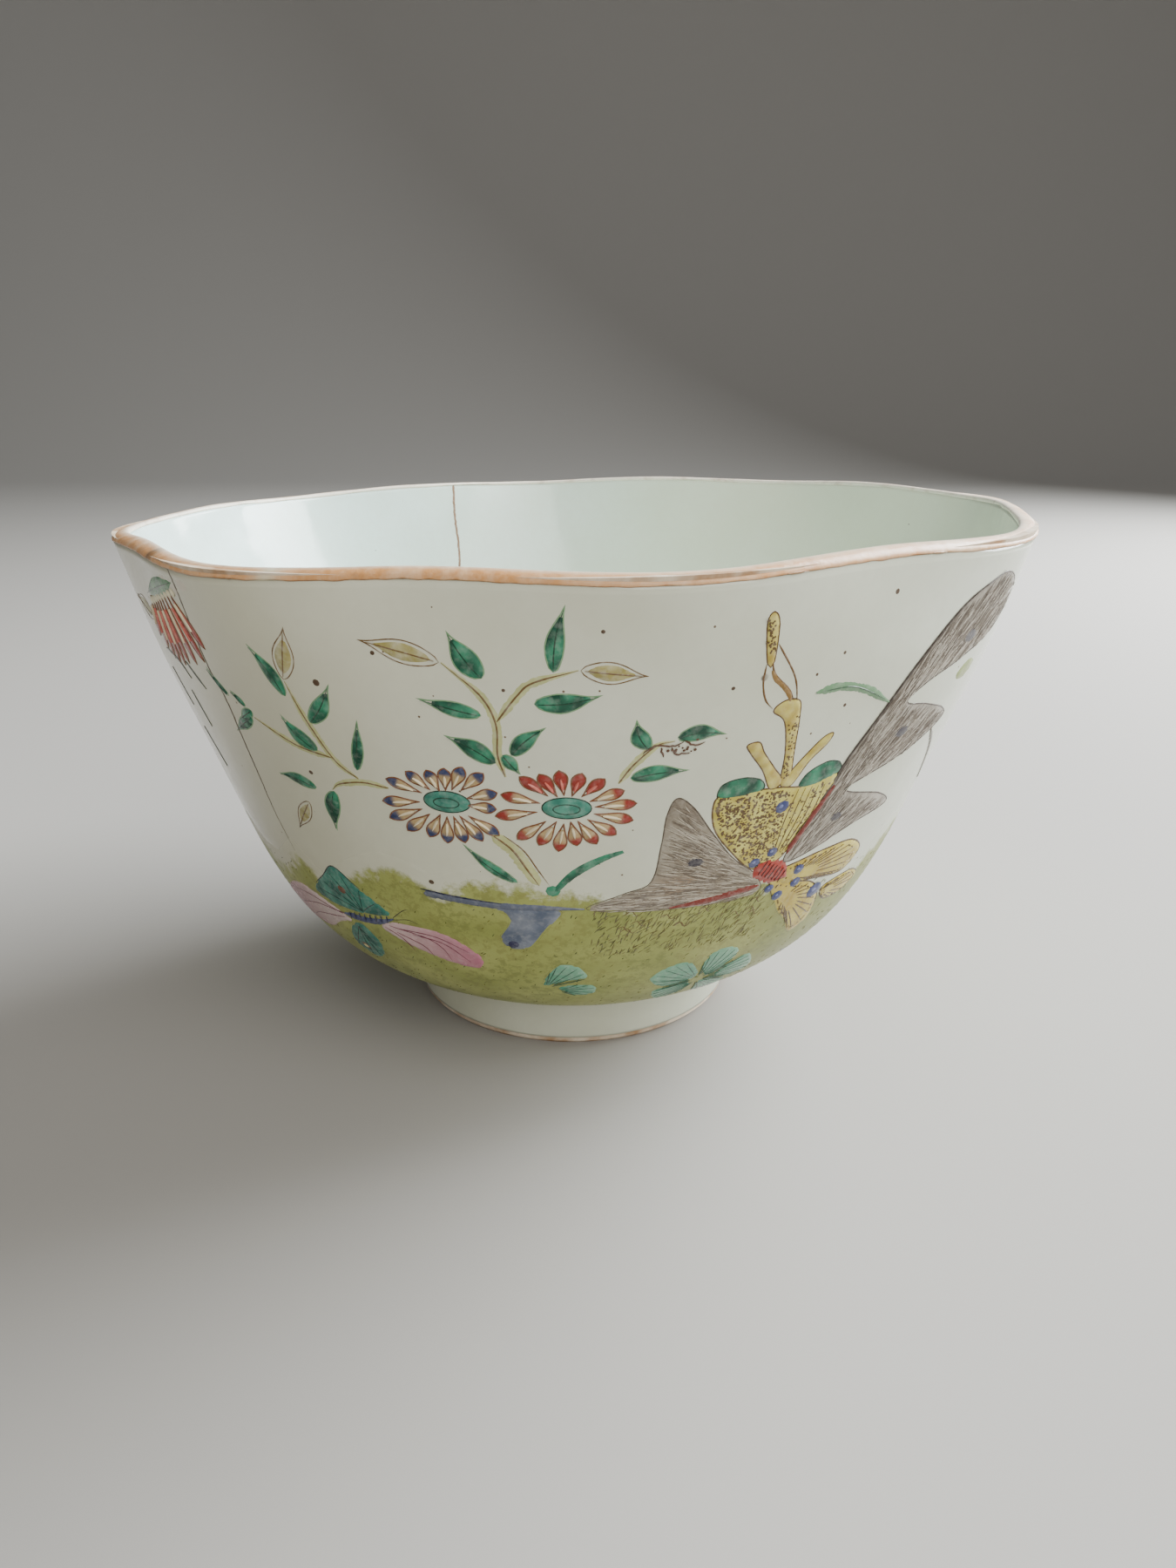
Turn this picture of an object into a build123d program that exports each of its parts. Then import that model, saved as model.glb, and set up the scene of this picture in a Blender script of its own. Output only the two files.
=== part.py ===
from build123d import *

# The bowl of a lidded tea bowl: a lobed porcelain wall on a turned foot ring, its glazes, the
# iron dressing on the lip, and the raised enamels painted on the outside.
# Millimetres, +Z up. The origin is the middle of the foot ring, on the face that it stands on.
# A place on the painted wall is (azimuth, rise): degrees round from the front (-Y) towards +X,
# and millimetres up the wall's outer face from the foot ring.

import os
from math import cos, radians, sin

os.makedirs("parts", exist_ok=True)

# ---------- driving dimensions ----------
MOUTH_RADIUS = 57.0
RIM_HEIGHT = 67.4
FOOT_HEIGHT = 7.2
FOOT_RADIUS = 22.8
FOOT_TOP_RADIUS = 23.0
FOOT_LAP = 1.0
WALL_FOOT_RADIUS = 23.4
FOOT_WALL = 2.6
FOOT_BEVEL = 0.5
FOOT_BARE = 1.1
BASE_HEIGHT = 6.2
LIP_WALL = 1.6
FLOOR_WALL = 3.2
LOBES = 8
LOBE_DEPTH = 1.2
LOBE_PHASE = 9.3
LOBE_START = 0.4
LIP_DRIFT = 0.7
LIP_TILT = 1.17
GLAZE = 0.2
ENAMEL = 0.2
WASH = 0.1
DRESSING = 0.15
DRESSING_DROP = 1.2
DRESSING_TOP = 0.3
TURF_TOP = 30.3
STEM = 0.5

# Outer face of the wall, (radius, height), foot ring to lip
WALL = [
    (WALL_FOOT_RADIUS, FOOT_HEIGHT),
    (29.6, 10.2),
    (36.7, 15.6),
    (42.9, 25.2),
    (47.5, 37.3),
    (52.9, 52.3),
    (MOUTH_RADIUS, RIM_HEIGHT),
]
SECTIONS = 8
POINTS_PER_LOBE = 4
OVERRUN = 3.0
LIP_FLARE = 0.27
CORE = 14.0
REACH = 1.2 * MOUTH_RADIUS

# The painting is repeated on the far side of the bowl
TURNS = (0, 180)

with BuildLine():
    WALL_CURVE = Spline(*WALL)
WALL_LENGTH = WALL_CURVE.length


# ---------- the lobed wall ----------
def fade(height):
    """Share of the lobing and of the kiln warp: none on the belly, all of it at the lip."""
    share = (height - FOOT_HEIGHT) / (RIM_HEIGHT - FOOT_HEIGHT)
    return max(0.0, (share - LOBE_START) / (1 - LOBE_START)) ** 2.5


def section(radius, height):
    """Closed outline of the bowl at one height, tilted and drifted as the firing left it."""
    share = fade(height)
    drift = LIP_DRIFT * (height - FOOT_HEIGHT) / (RIM_HEIGHT - FOOT_HEIGHT)
    slope = LIP_TILT * share / MOUTH_RADIUS
    plane = Plane(origin=(drift, 0, height), x_dir=(1, 0, slope), z_dir=(-slope, 0, 1))
    count = LOBES * POINTS_PER_LOBE
    points = []
    for i in range(count):
        turn = radians(360 * i / count)
        grown = radius + share * LOBE_DEPTH * cos(LOBES * turn)
        aim = turn + radians(LOBE_PHASE)
        points.append((grown * cos(aim), grown * sin(aim)))
    with BuildSketch(plane) as outline:
        with BuildLine():
            Spline(*points, periodic=True)
        make_face()
    return outline.sketch


def wall_point(rise, out=0.0):
    """Radius and height at a rise up the wall, moved outwards along the wall's normal."""
    point = WALL_CURVE @ (rise / WALL_LENGTH)
    along = WALL_CURVE % (rise / WALL_LENGTH)
    return (point.X + out * along.Y, point.Y - out * along.X)


def lip_plane(rise):
    """Tilted plane of the lip, moved up by rise."""
    slope = LIP_TILT / MOUTH_RADIUS
    return Plane(origin=(LIP_DRIFT, 0, RIM_HEIGHT + rise), z_dir=(-slope, 0, 1))


def wall_solid(out):
    """Solid inside the wall's outer face grown by out, running past the lip."""
    rises = [WALL_LENGTH * i / (SECTIONS - 1) for i in range(SECTIONS)]
    faces = [section(*wall_point(rise, out)) for rise in rises]
    radius, height = wall_point(WALL_LENGTH, out)
    faces.append(section(radius + OVERRUN * LIP_FLARE, height + OVERRUN))
    with BuildPart() as solid:
        loft(sections=faces)
    return solid.part


def hollow_solid(out):
    """Solid of the drinking space, its faces moved outwards by out, running past the lip."""
    faces = []
    for i in range(SECTIONS):
        share = i / (SECTIONS - 1)
        thickness = FLOOR_WALL + (LIP_WALL - FLOOR_WALL) * min(1.0, 1.5 * share)
        faces.append(section(*wall_point(WALL_LENGTH * share, out - thickness)))
    radius, height = wall_point(WALL_LENGTH, out - LIP_WALL)
    faces.append(section(radius + OVERRUN * LIP_FLARE, height + OVERRUN))
    with BuildPart() as solid:
        loft(sections=faces)
    return solid.part


def below(solid, plane):
    """The part of a solid under a plane."""
    with BuildPart() as kept:
        add(solid)
        split(bisect_by=plane, keep=Keep.BOTTOM)
    return kept.part


outer = below(wall_solid(0.0), lip_plane(0))
glazed = below(wall_solid(GLAZE), lip_plane(0))
enamelled = below(wall_solid(GLAZE + ENAMEL), lip_plane(0))
hollow = hollow_solid(0.0)
glazed_hollow = hollow_solid(-GLAZE)


# ---------- porcelain and glazes ----------
with BuildPart() as porcelain_body:
    add(outer)
    with BuildSketch(Plane.XZ):
        with BuildLine():
            Polyline(
                (0, FOOT_HEIGHT + FOOT_LAP),
                (0, BASE_HEIGHT),
                (FOOT_RADIUS - FOOT_WALL, BASE_HEIGHT),
                (FOOT_RADIUS - FOOT_WALL, FOOT_BEVEL),
                (FOOT_RADIUS - FOOT_WALL + FOOT_BEVEL, 0),
                (FOOT_RADIUS - FOOT_BEVEL, 0),
                (FOOT_RADIUS, FOOT_BEVEL),
                (FOOT_TOP_RADIUS, FOOT_HEIGHT + FOOT_LAP),
                close=True,
            )
        make_face()
    revolve(axis=Axis.Z)
    add(hollow, mode=Mode.SUBTRACT)

with BuildPart() as foot_recess_solid:
    Cylinder(FOOT_RADIUS - FOOT_WALL, BASE_HEIGHT, align=(Align.CENTER, Align.CENTER, Align.MIN))
foot_recess = foot_recess_solid.part

with BuildPart() as inner_glaze:
    add(hollow)
    add(outer, mode=Mode.INTERSECT)
    add(glazed_hollow, mode=Mode.SUBTRACT)

with BuildPart() as outer_glaze:
    with BuildSketch(Plane.XZ):
        with BuildLine():
            Polyline(
                (FOOT_RADIUS - FOOT_WALL, FOOT_BARE),
                (FOOT_RADIUS + GLAZE, FOOT_BARE),
                (FOOT_TOP_RADIUS + GLAZE, FOOT_HEIGHT + FOOT_LAP),
                (FOOT_RADIUS - FOOT_WALL, FOOT_HEIGHT + FOOT_LAP),
                close=True,
            )
        make_face()
    revolve(axis=Axis.Z)
    add(glazed)
    add(foot_recess, mode=Mode.SUBTRACT)
    add(porcelain_body.part, mode=Mode.SUBTRACT)
    add(hollow, mode=Mode.SUBTRACT)

with BuildPart() as base_glaze:
    with BuildSketch(Plane.XY.offset(BASE_HEIGHT)):
        Circle(FOOT_RADIUS - FOOT_WALL)
    extrude(amount=-GLAZE)

# The iron dressing caps the lip and runs a little way down both sides of it
with BuildPart() as rim_dressing:
    add(wall_solid(GLAZE + DRESSING))
    split(bisect_by=lip_plane(DRESSING_TOP), keep=Keep.BOTTOM)
    split(bisect_by=lip_plane(-DRESSING_DROP), keep=Keep.TOP)
    add(hollow_solid(-GLAZE - DRESSING), mode=Mode.SUBTRACT)
    add(glazed - glazed_hollow, mode=Mode.SUBTRACT)

with BuildPart() as skin:
    add(enamelled)
    add(glazed, mode=Mode.SUBTRACT)


# ---------- drawing on the wall ----------
# Each motif is drawn flat, as seen straight on from one azimuth, and is cut out of the skin of
# enamel by running the drawing straight out through the wall.
LEFT_VIEW = -38
FRONT_VIEW = -8
RIGHT_VIEW = 30


def facing_plane(azimuth):
    """Upright plane inside the bowl that faces an azimuth, its local y straight up."""
    aim = radians(azimuth)
    outwards = Vector(sin(aim), -cos(aim), 0)
    return Plane(origin=outwards * CORE, x_dir=(cos(aim), sin(aim), 0), z_dir=outwards)


def spot(view, place):
    """Where a place on the wall lies on the drawing seen from a view's azimuth."""
    radius, height = wall_point(place[1])
    return (radius * sin(radians(place[0] - view)), height)


def lens(base, tip, width):
    """Face with two pointed ends and round sides."""
    start = Vector(*base)
    end = Vector(*tip)
    side = (end - start).rotate(Axis.Z, 90).normalized() * (width / 2)
    middle = start * 0.55 + end * 0.45
    with BuildLine() as edge:
        ThreePointArc(start, middle + side, end)
        ThreePointArc(end, middle - side, start)
    make_face(edge.edges())


def leaf(view, base, tip, width):
    """Pointed leaf between two places on the wall."""
    lens(spot(view, base), spot(view, tip), width)


def panel(view, places):
    """Face with straight sides between places on the wall."""
    with BuildLine() as edge:
        Polyline(*[spot(view, place) for place in places], close=True)
    make_face(edge.edges())


def blob(view, places):
    """Face with a smooth edge through places on the wall."""
    with BuildLine() as edge:
        Spline(*[spot(view, place) for place in places], periodic=True)
    make_face(edge.edges())


def stroke(view, places, width):
    """Brush stroke of one width through places on the wall."""
    with BuildLine() as path:
        Spline(*[spot(view, place) for place in places])
    trace(path.edges(), width)


def ellipse(view, place, x_radius, y_radius):
    """Filled ellipse centred on a place on the wall."""
    with Locations(spot(view, place)):
        Ellipse(x_radius, y_radius)


def petals(view, centre, reach, eye, count, width):
    """Ring of petals round an eye, spread over an ellipse of radii reach."""
    x, y = spot(view, centre)
    for i in range(count):
        aim = radians(360 * (i + 0.5) / count)
        base = (x + 0.8 * eye[0] * cos(aim), y + 0.8 * eye[1] * sin(aim))
        tip = (x + reach[0] * cos(aim), y + reach[1] * sin(aim))
        lens(base, tip, width)


def drawing(view, draw, items):
    """Flat drawing of one kind of motif, seen straight on from a view's azimuth."""
    with BuildSketch() as sheet:
        for item in items:
            draw(view, *item)
    return sheet.sketch


# ---------- flowers ----------
BLUE_ASTER = (-13.9, 47.4)
RED_ASTER = (-0.3, 47.3)
ASTER_REACH = (6.3, 4.7)
ASTER_EYE = (2.4, 1.4)
ASTER_PETALS = 17
PETAL_WIDTH = 1.35

ASTER = (ASTER_REACH, ASTER_EYE, ASTER_PETALS, PETAL_WIDTH)

blue_eye = drawing(FRONT_VIEW, ellipse, [(BLUE_ASTER, *ASTER_EYE)])
red_eye = drawing(FRONT_VIEW, ellipse, [(RED_ASTER, *ASTER_EYE)])
red_petals = drawing(FRONT_VIEW, petals, [(RED_ASTER, *ASTER)]) - red_eye
blue_petals = drawing(FRONT_VIEW, petals, [(BLUE_ASTER, *ASTER)]) - blue_eye - red_petals

# Aster seen from the side: petals hang from a green cap
SIDE_CAP = ((-56.3, 66.2), (-43.6, 69.4), 2.4)
SIDE_PETALS = [
    ((-55.6, 65.8), (-58.0, 64.0), 1.4),
    ((-54.2, 65.8), (-55.2, 62.2), 1.4),
    ((-52.4, 65.9), (-52.0, 61.2), 1.4),
    ((-50.2, 66.0), (-49.0, 60.4), 1.4),
    ((-48.2, 66.2), (-46.3, 60.4), 1.4),
    ((-46.4, 66.6), (-43.8, 60.8), 1.4),
    ((-44.8, 67.0), (-41.3, 62.0), 1.5),
    ((-43.6, 67.4), (-39.4, 64.0), 1.5),
]
side_cap = drawing(LEFT_VIEW, leaf, [SIDE_CAP])
side_petals = drawing(LEFT_VIEW, leaf, SIDE_PETALS) - side_cap

# ---------- leaves and stems ----------
GREEN_LEAVES = [
    ((-30.6, 58.4), (-33.5, 64.0), 1.8),
    ((-28.5, 55.5), (-24.6, 60.3), 2.0),
    ((-24.3, 50.2), (-22.4, 56.5), 1.6),
    ((-29.0, 52.0), (-32.5, 56.0), 2.2),
    ((-28.9, 46.8), (-31.0, 41.0), 2.4),
    ((-31.6, 46.8), (-37.7, 47.5), 2.0),
    ((-37.9, 54.7), (-43.1, 51.9), 1.8),
    ((-40.8, 56.8), (-43.4, 59.8), 1.1),
    ((-8.3, 61.8), (-11.4, 66.3), 2.5),
    ((-1.5, 62.7), (-0.4, 69.2), 2.1),
    ((-3.4, 59.4), (3.1, 60.5), 2.2),
    ((-6.0, 53.6), (-2.3, 56.9), 2.1),
    ((-7.7, 52.6), (-12.9, 55.5), 2.3),
    ((-8.7, 57.9), (-15.2, 59.4), 1.8),
    ((8.0, 54.4), (6.5, 57.8), 2.1),
    ((10.8, 55.6), (16.0, 55.5), 2.2),
    ((6.4, 51.0), (12.7, 51.6), 2.2),
    ((-6.5, 37.0), (-12.9, 42.0), 1.6),
    ((-2.4, 36.0), (7.6, 41.7), 1.1),
]
OCHRE_LEAVES = [
    ((-30.0, 60.4), (-28.0, 66.2), 2.4),
    ((-34.2, 44.3), (-38.9, 39.6), 1.8),
    ((-12.4, 63.2), (-20.3, 65.2), 2.3),
    ((1.0, 63.0), (7.2, 62.4), 2.2),
]
SIDE_OCHRE_LEAF = [((-58.3, 63.0), (-66.0, 64.8), 2.6)]
STEMS = [
    ([(-20.8, 48.4), (-24.0, 48.7), (-27.5, 48.0), (-29.0, 47.0)], STEM),
    ([(-24.5, 49.1), (-27.0, 51.2), (-29.0, 56.0), (-30.0, 60.2)], STEM),
    ([(-27.3, 51.4), (-32.0, 52.3), (-37.4, 54.8)], STEM),
    ([(-6.8, 51.0), (-7.4, 53.5), (-7.3, 57.0), (-8.6, 60.0), (-12.2, 63.2)], STEM),
    ([(-7.2, 57.3), (-5.0, 60.2), (-3.4, 61.6), (0.8, 63.0)], STEM),
    ([(5.2, 50.4), (6.6, 52.6), (8.8, 54.8), (10.6, 55.2)], STEM),
    ([(-6.8, 41.6), (-5.2, 39.0), (-3.8, 36.8)], STEM),
]
asters = blue_eye + red_eye + red_petals + blue_petals
leaves = drawing(FRONT_VIEW, leaf, GREEN_LEAVES) - asters
ochre_leaves = drawing(FRONT_VIEW, leaf, OCHRE_LEAVES)
side_ochre_leaf = drawing(LEFT_VIEW, leaf, SIDE_OCHRE_LEAF) - side_petals
stems = drawing(FRONT_VIEW, stroke, STEMS) - leaves - ochre_leaves - asters

# Pale tongue-shaped leaves among the grass: two folds of a fan, and a five-lobed clover
FAN_FOLDS = [
    [(-4.3, 19.1), (-3.4, 22.2), (-1.4, 24.1), (1.6, 23.6), (3.0, 21.2), (0.0, 20.4)],
    [(-2.0, 18.6), (1.0, 19.6), (4.2, 19.2), (4.4, 17.0), (1.0, 16.2)],
]
CLOVER_LOBES = [
    [(13.3, 19.4), (15.4, 22.0), (19.0, 22.7), (21.4, 21.0), (22.4, 18.2), (17.0, 16.8)],
    [(22.2, 20.8), (23.0, 23.6), (26.0, 24.2), (28.6, 22.6), (27.2, 19.6), (24.6, 17.8)],
    [(26.4, 17.4), (28.6, 20.4), (31.4, 21.3), (34.0, 19.0), (34.6, 16.2), (30.0, 15.8)],
    [(15.2, 15.8), (22.2, 16.6), (21.6, 12.6), (18.0, 10.6)],
    [(24.0, 16.6), (31.0, 14.8), (31.2, 11.6), (26.0, 11.2)],
]
fan_leaf = drawing(FRONT_VIEW, blob, [(fold,) for fold in FAN_FOLDS])
clover_leaf = drawing(RIGHT_VIEW, blob, [(lobe,) for lobe in CLOVER_LOBES])

GRASS = [
    ([(25.7, 58.7), (29.0, 58.9), (33.0, 58.0), (36.0, 56.6)], 0.8),
    ([(53.6, 49.0), (55.6, 46.8), (58.0, 44.3), (61.0, 40.8)], 0.7),
    ([(42.9, 17.5), (47.0, 15.5), (51.5, 12.6)], 0.9),
]
grass = drawing(RIGHT_VIEW, stroke, GRASS)
side_grass = drawing(LEFT_VIEW, stroke, [([(-50.6, 57.0), (-53.0, 58.6), (-57.5, 59.3)], 0.8)])

# ---------- twig and moth on the left ----------
TWIG_BAR = ([(-19.8, 34.2), (-15.0, 33.9), (-9.0, 33.5), (-3.0, 33.5), (2.0, 33.4)], 1.0)
TWIG_DROP = [(-8.6, 32.6), (-8.4, 30.8), (-9.9, 28.4), (-8.4, 26.6), (-5.4, 27.2)]
TWIG_DROP += [(-3.2, 30.0), (-1.0, 32.6)]
twig = drawing(FRONT_VIEW, stroke, [TWIG_BAR]) + drawing(FRONT_VIEW, blob, [(TWIG_DROP,)])

MOTH_BODY = ([(-37.4, 27.0), (-33.0, 27.1), (-29.5, 27.7), (-26.6, 28.8)], 1.2)
TEAL_UPPER_WING = [(-42.8, 29.4), (-38.4, 32.8), (-35.2, 34.9), (-32.0, 33.0), (-26.9, 29.6)]
TEAL_UPPER_WING += [(-31.0, 28.4), (-38.0, 28.0)]
TEAL_LOWER_WING = [(-34.6, 26.2), (-32.3, 23.2), (-34.0, 19.8), (-37.2, 18.3), (-40.4, 20.4), (-38.6, 24.0)]
PINK_WINGS = [
    [
        (-27.4, 28.2), (-20.0, 28.3), (-15.6, 26.6), (-13.2, 24.2),
        (-14.6, 22.0), (-21.0, 23.0), (-29.6, 26.2),
    ],
    [
        (-36.6, 26.2), (-44.5, 28.8), (-51.0, 28.2), (-60.0, 23.6),
        (-58.0, 20.6), (-47.0, 21.4), (-40.5, 24.4),
    ],
]
moth_body = drawing(LEFT_VIEW, stroke, [MOTH_BODY])
teal_wings = drawing(LEFT_VIEW, blob, [(TEAL_UPPER_WING,), (TEAL_LOWER_WING,)]) - moth_body
pink_wings = drawing(LEFT_VIEW, blob, [(wing,) for wing in PINK_WINGS]) - moth_body - teal_wings

# ---------- butterfly on the right ----------
HEART_WING = [(24.6, 36.8), (20.0, 40.4), (17.2, 43.8), (16.6, 47.4), (19.0, 48.0)]
HEART_WING += [(24.6, 47.8), (28.4, 47.4), (33.1, 48.2), (32.2, 44.8), (30.2, 41.0), (28.6, 37.6)]
HORNS = [
    ([(24.2, 48.0), (22.2, 50.4), (19.8, 53.4)], 1.5),
    ([(25.4, 48.0), (26.8, 50.4), (29.2, 52.8)], 1.5),
    ([(25.0, 48.2), (24.4, 52.2), (23.2, 56.8)], 1.0),
    ([(19.2, 63.6), (18.8, 65.4), (18.2, 67.2)], 1.3),
]
LOWER_WINGS = [
    [(32.2, 35.2), (37.0, 36.7), (43.0, 36.8), (47.2, 34.4), (44.6, 31.8), (37.0, 32.2)],
    [(31.6, 31.0), (34.8, 26.8), (38.6, 23.2), (41.8, 25.0), (40.6, 29.2), (37.0, 31.6)],
    [(41.2, 30.2), (48.0, 30.8), (52.0, 29.0), (49.0, 27.2), (43.4, 27.6)],
]
LEFT_WING = [(2.4, 33.3), (7.0, 35.4), (10.4, 36.9), (11.0, 42.0), (11.1, 46.0)]
LEFT_WING += [(12.0, 48.1), (14.2, 46.6), (17.2, 43.0), (21.0, 39.0), (25.4, 35.8)]
LEFT_WING += [(26.2, 32.8), (13.0, 32.6)]
RIGHT_WING = [(29.8, 36.8), (32.0, 43.0), (33.6, 48.6), (36.4, 53.8), (40.2, 60.0)]
RIGHT_WING += [(45.0, 65.5), (51.5, 68.2), (57.0, 66.0), (55.4, 61.8), (49.0, 59.2)]
RIGHT_WING += [(43.6, 57.4), (41.0, 55.4), (45.6, 54.4), (51.6, 52.7), (53.0, 51.0)]
RIGHT_WING += [(46.6, 48.4), (37.0, 46.0), (36.8, 45.0), (44.6, 43.0), (48.3, 40.8), (41.0, 39.6)]
WING_SPOTS = [
    ((25.9, 45.2), 0.75, 0.75),
    ((24.5, 37.8), 0.7, 0.55),
    ((26.8, 38.9), 0.7, 0.45),
    ((33.0, 35.1), 0.95, 0.65),
    ((33.4, 33.1), 1.1, 0.55),
    ((30.7, 31.7), 1.0, 0.6),
    ((38.9, 30.2), 1.2, 0.75),
    ((15.8, 39.2), 0.8, 0.5),
    ((36.3, 41.8), 0.8, 0.5),
    ((42.4, 51.6), 0.8, 0.5),
    ((48.7, 61.8), 0.8, 0.5),
]
WING_LEAVES = [((19.2, 48.4), 1.9, 1.0), ((30.4, 48.8), 2.3, 1.1)]
BUTTERFLY_BODY = ([(26.2, 37.0), (28.4, 35.9), (30.8, 34.6)], 2.4)
WING_BARS = [
    ([(14.2, 33.4), (20.0, 34.1), (25.6, 34.4)], 0.9),
    ([(33.4, 46.6), (31.2, 42.0), (29.4, 38.2)], 0.8),
]
spots = drawing(RIGHT_VIEW, ellipse, WING_SPOTS)
body = drawing(RIGHT_VIEW, stroke, [BUTTERFLY_BODY]) - spots
bars = drawing(RIGHT_VIEW, stroke, WING_BARS) - body
marks = spots + body + bars
heart_wing = drawing(RIGHT_VIEW, blob, [(HEART_WING,)]) - marks
horns = drawing(RIGHT_VIEW, stroke, HORNS) - heart_wing
lower_wings = drawing(RIGHT_VIEW, blob, [(wing,) for wing in LOWER_WINGS]) - marks
left_wing = drawing(RIGHT_VIEW, panel, [(LEFT_WING,)]) - heart_wing - marks
right_wing = drawing(RIGHT_VIEW, panel, [(RIGHT_WING,)]) - heart_wing - marks - lower_wings
wing_leaves = drawing(RIGHT_VIEW, ellipse, WING_LEAVES) - heart_wing - right_wing - horns

# ---------- the raised enamels: drawings by view for each node ----------
ENAMELS = {
    "blue_aster_petals": {FRONT_VIEW: blue_petals},
    "blue_aster_eye": {FRONT_VIEW: blue_eye},
    "red_aster_petals": {FRONT_VIEW: red_petals},
    "red_aster_eye": {FRONT_VIEW: red_eye},
    "side_aster_petals": {LEFT_VIEW: side_petals},
    "side_aster_cap": {LEFT_VIEW: side_cap},
    "green_leaves": {FRONT_VIEW: leaves},
    "ochre_leaves": {FRONT_VIEW: ochre_leaves, LEFT_VIEW: side_ochre_leaf},
    "flower_stems": {FRONT_VIEW: stems},
    "pond_leaves": {FRONT_VIEW: fan_leaf, RIGHT_VIEW: clover_leaf},
    "grass_blades": {RIGHT_VIEW: grass, LEFT_VIEW: side_grass},
    "blue_twig": {FRONT_VIEW: twig},
    "moth_body": {LEFT_VIEW: moth_body},
    "moth_teal_wings": {LEFT_VIEW: teal_wings},
    "moth_pink_wings": {LEFT_VIEW: pink_wings},
    "butterfly_body": {RIGHT_VIEW: body},
    "butterfly_bars": {RIGHT_VIEW: bars},
    "butterfly_spots": {RIGHT_VIEW: spots},
    "butterfly_heart_wing": {RIGHT_VIEW: heart_wing},
    "butterfly_horns": {RIGHT_VIEW: horns},
    "butterfly_lower_wings": {RIGHT_VIEW: lower_wings},
    "butterfly_left_wing": {RIGHT_VIEW: left_wing},
    "butterfly_right_wing": {RIGHT_VIEW: right_wing},
    "butterfly_wing_leaves": {RIGHT_VIEW: wing_leaves},
}

# The green wash is laid first, and the motifs that reach down onto it lie over it
washed = below(wall_solid(GLAZE + WASH), Plane.XY.offset(TURF_TOP))
with BuildPart() as turf_enamel:
    add(washed)
    split(bisect_by=Plane.XY.offset(FOOT_HEIGHT), keep=Keep.TOP)
    add(glazed, mode=Mode.SUBTRACT)

# ---------- output ----------
solids = {
    "porcelain_body": porcelain_body.part,
    "inner_glaze": inner_glaze.part,
    "outer_glaze": outer_glaze.part,
    "base_glaze": base_glaze.part,
    "rim_dressing": rim_dressing.part,
    "turf_enamel": turf_enamel.part,
}
for name, drawings in ENAMELS.items():
    with BuildPart() as enamel:
        for view, sheet in drawings.items():
            for turn in TURNS:
                with BuildSketch(facing_plane(view + turn)):
                    add(sheet)
                extrude(amount=REACH - CORE)
        add(skin.part, mode=Mode.INTERSECT)
        add(washed, mode=Mode.SUBTRACT)
    solids[name] = enamel.part

for name, part in solids.items():
    part.label = name
    export_step(part, "parts/" + name + ".step")
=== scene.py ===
import math

import bpy
import numpy as np
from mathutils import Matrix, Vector, noise
from mathutils.bvhtree import BVHTree
from mathutils.geometry import delaunay_2d_cdt


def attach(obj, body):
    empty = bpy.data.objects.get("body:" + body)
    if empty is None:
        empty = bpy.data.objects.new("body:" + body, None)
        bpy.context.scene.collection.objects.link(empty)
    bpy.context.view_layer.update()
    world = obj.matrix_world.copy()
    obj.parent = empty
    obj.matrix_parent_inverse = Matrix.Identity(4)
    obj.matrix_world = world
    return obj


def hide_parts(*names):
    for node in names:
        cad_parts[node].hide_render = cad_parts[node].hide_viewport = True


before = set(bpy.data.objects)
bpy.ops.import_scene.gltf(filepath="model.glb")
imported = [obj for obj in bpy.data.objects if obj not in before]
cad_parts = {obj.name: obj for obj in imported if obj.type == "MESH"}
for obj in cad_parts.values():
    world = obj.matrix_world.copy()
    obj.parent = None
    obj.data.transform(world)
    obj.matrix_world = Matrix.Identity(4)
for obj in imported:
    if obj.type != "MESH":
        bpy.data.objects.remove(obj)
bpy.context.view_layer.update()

MM = 0.001


# ---------------------------------------------------------------- objects and meshes
def add_object(name, data):
    item = bpy.data.objects.new(name, data)
    bpy.context.scene.collection.objects.link(item)
    return item


def make_mesh(name, points, faces, material):
    mesh = bpy.data.meshes.new(name)
    mesh.from_pydata(points, [], faces)
    mesh.polygons.foreach_set("use_smooth", [True] * len(faces))
    mesh.materials.append(material)
    return mesh


def make_piece(name, points, faces, material, node, replaces=True, paint=None, cover=None):
    """Mesh object in metres, from points in millimetres, that belongs to a CAD node."""
    mesh = make_mesh(name, (points * MM).tolist(), faces, material)
    if paint is not None:
        flat = np.concatenate([paint, np.ones((len(points), 1))], axis=1).astype(np.float32)
        mesh.attributes.new("paint", "FLOAT_COLOR", "POINT").data.foreach_set("color", flat.ravel())
    if cover is not None:
        mesh.attributes.new("cover", "FLOAT", "POINT").data.foreach_set("value", cover.astype(np.float32))
    piece = add_object(name, mesh)
    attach(piece, "root")
    if replaces:
        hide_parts(node)
    return piece


def ring_faces(rows, columns):
    """Quads of a grid that closes on itself sideways."""
    faces = []
    for row in range(rows - 1):
        for column in range(columns):
            a, b = row * columns + column, row * columns + (column + 1) % columns
            faces.append((a, b, b + columns, a + columns))
    return faces


# ---------------------------------------------------------------- camera, floor and light
# The camera stands in front of the bowl, a little above the lip, looking slightly down.
CAMERA_PLACE = Vector((2.25, -148.4, 81.5)) * MM
CAMERA_PITCH = 19.53
CAMERA_LENS = 24.96
BOWL_MIDDLE = Vector((0, 0, 0.03))
FLOOR_REACH = 3.0
SWEEP_FROM = 1.0
SWEEP_RADIUS = 0.8


def make_camera():
    data = bpy.data.cameras.new("camera")
    data.lens = CAMERA_LENS
    data.sensor_width = 36.0
    data.clip_start = 0.005
    camera = add_object("camera", data)
    camera.location = CAMERA_PLACE
    camera.rotation_euler = (math.radians(90 - CAMERA_PITCH), 0, 0)
    bpy.context.scene.camera = camera


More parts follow.
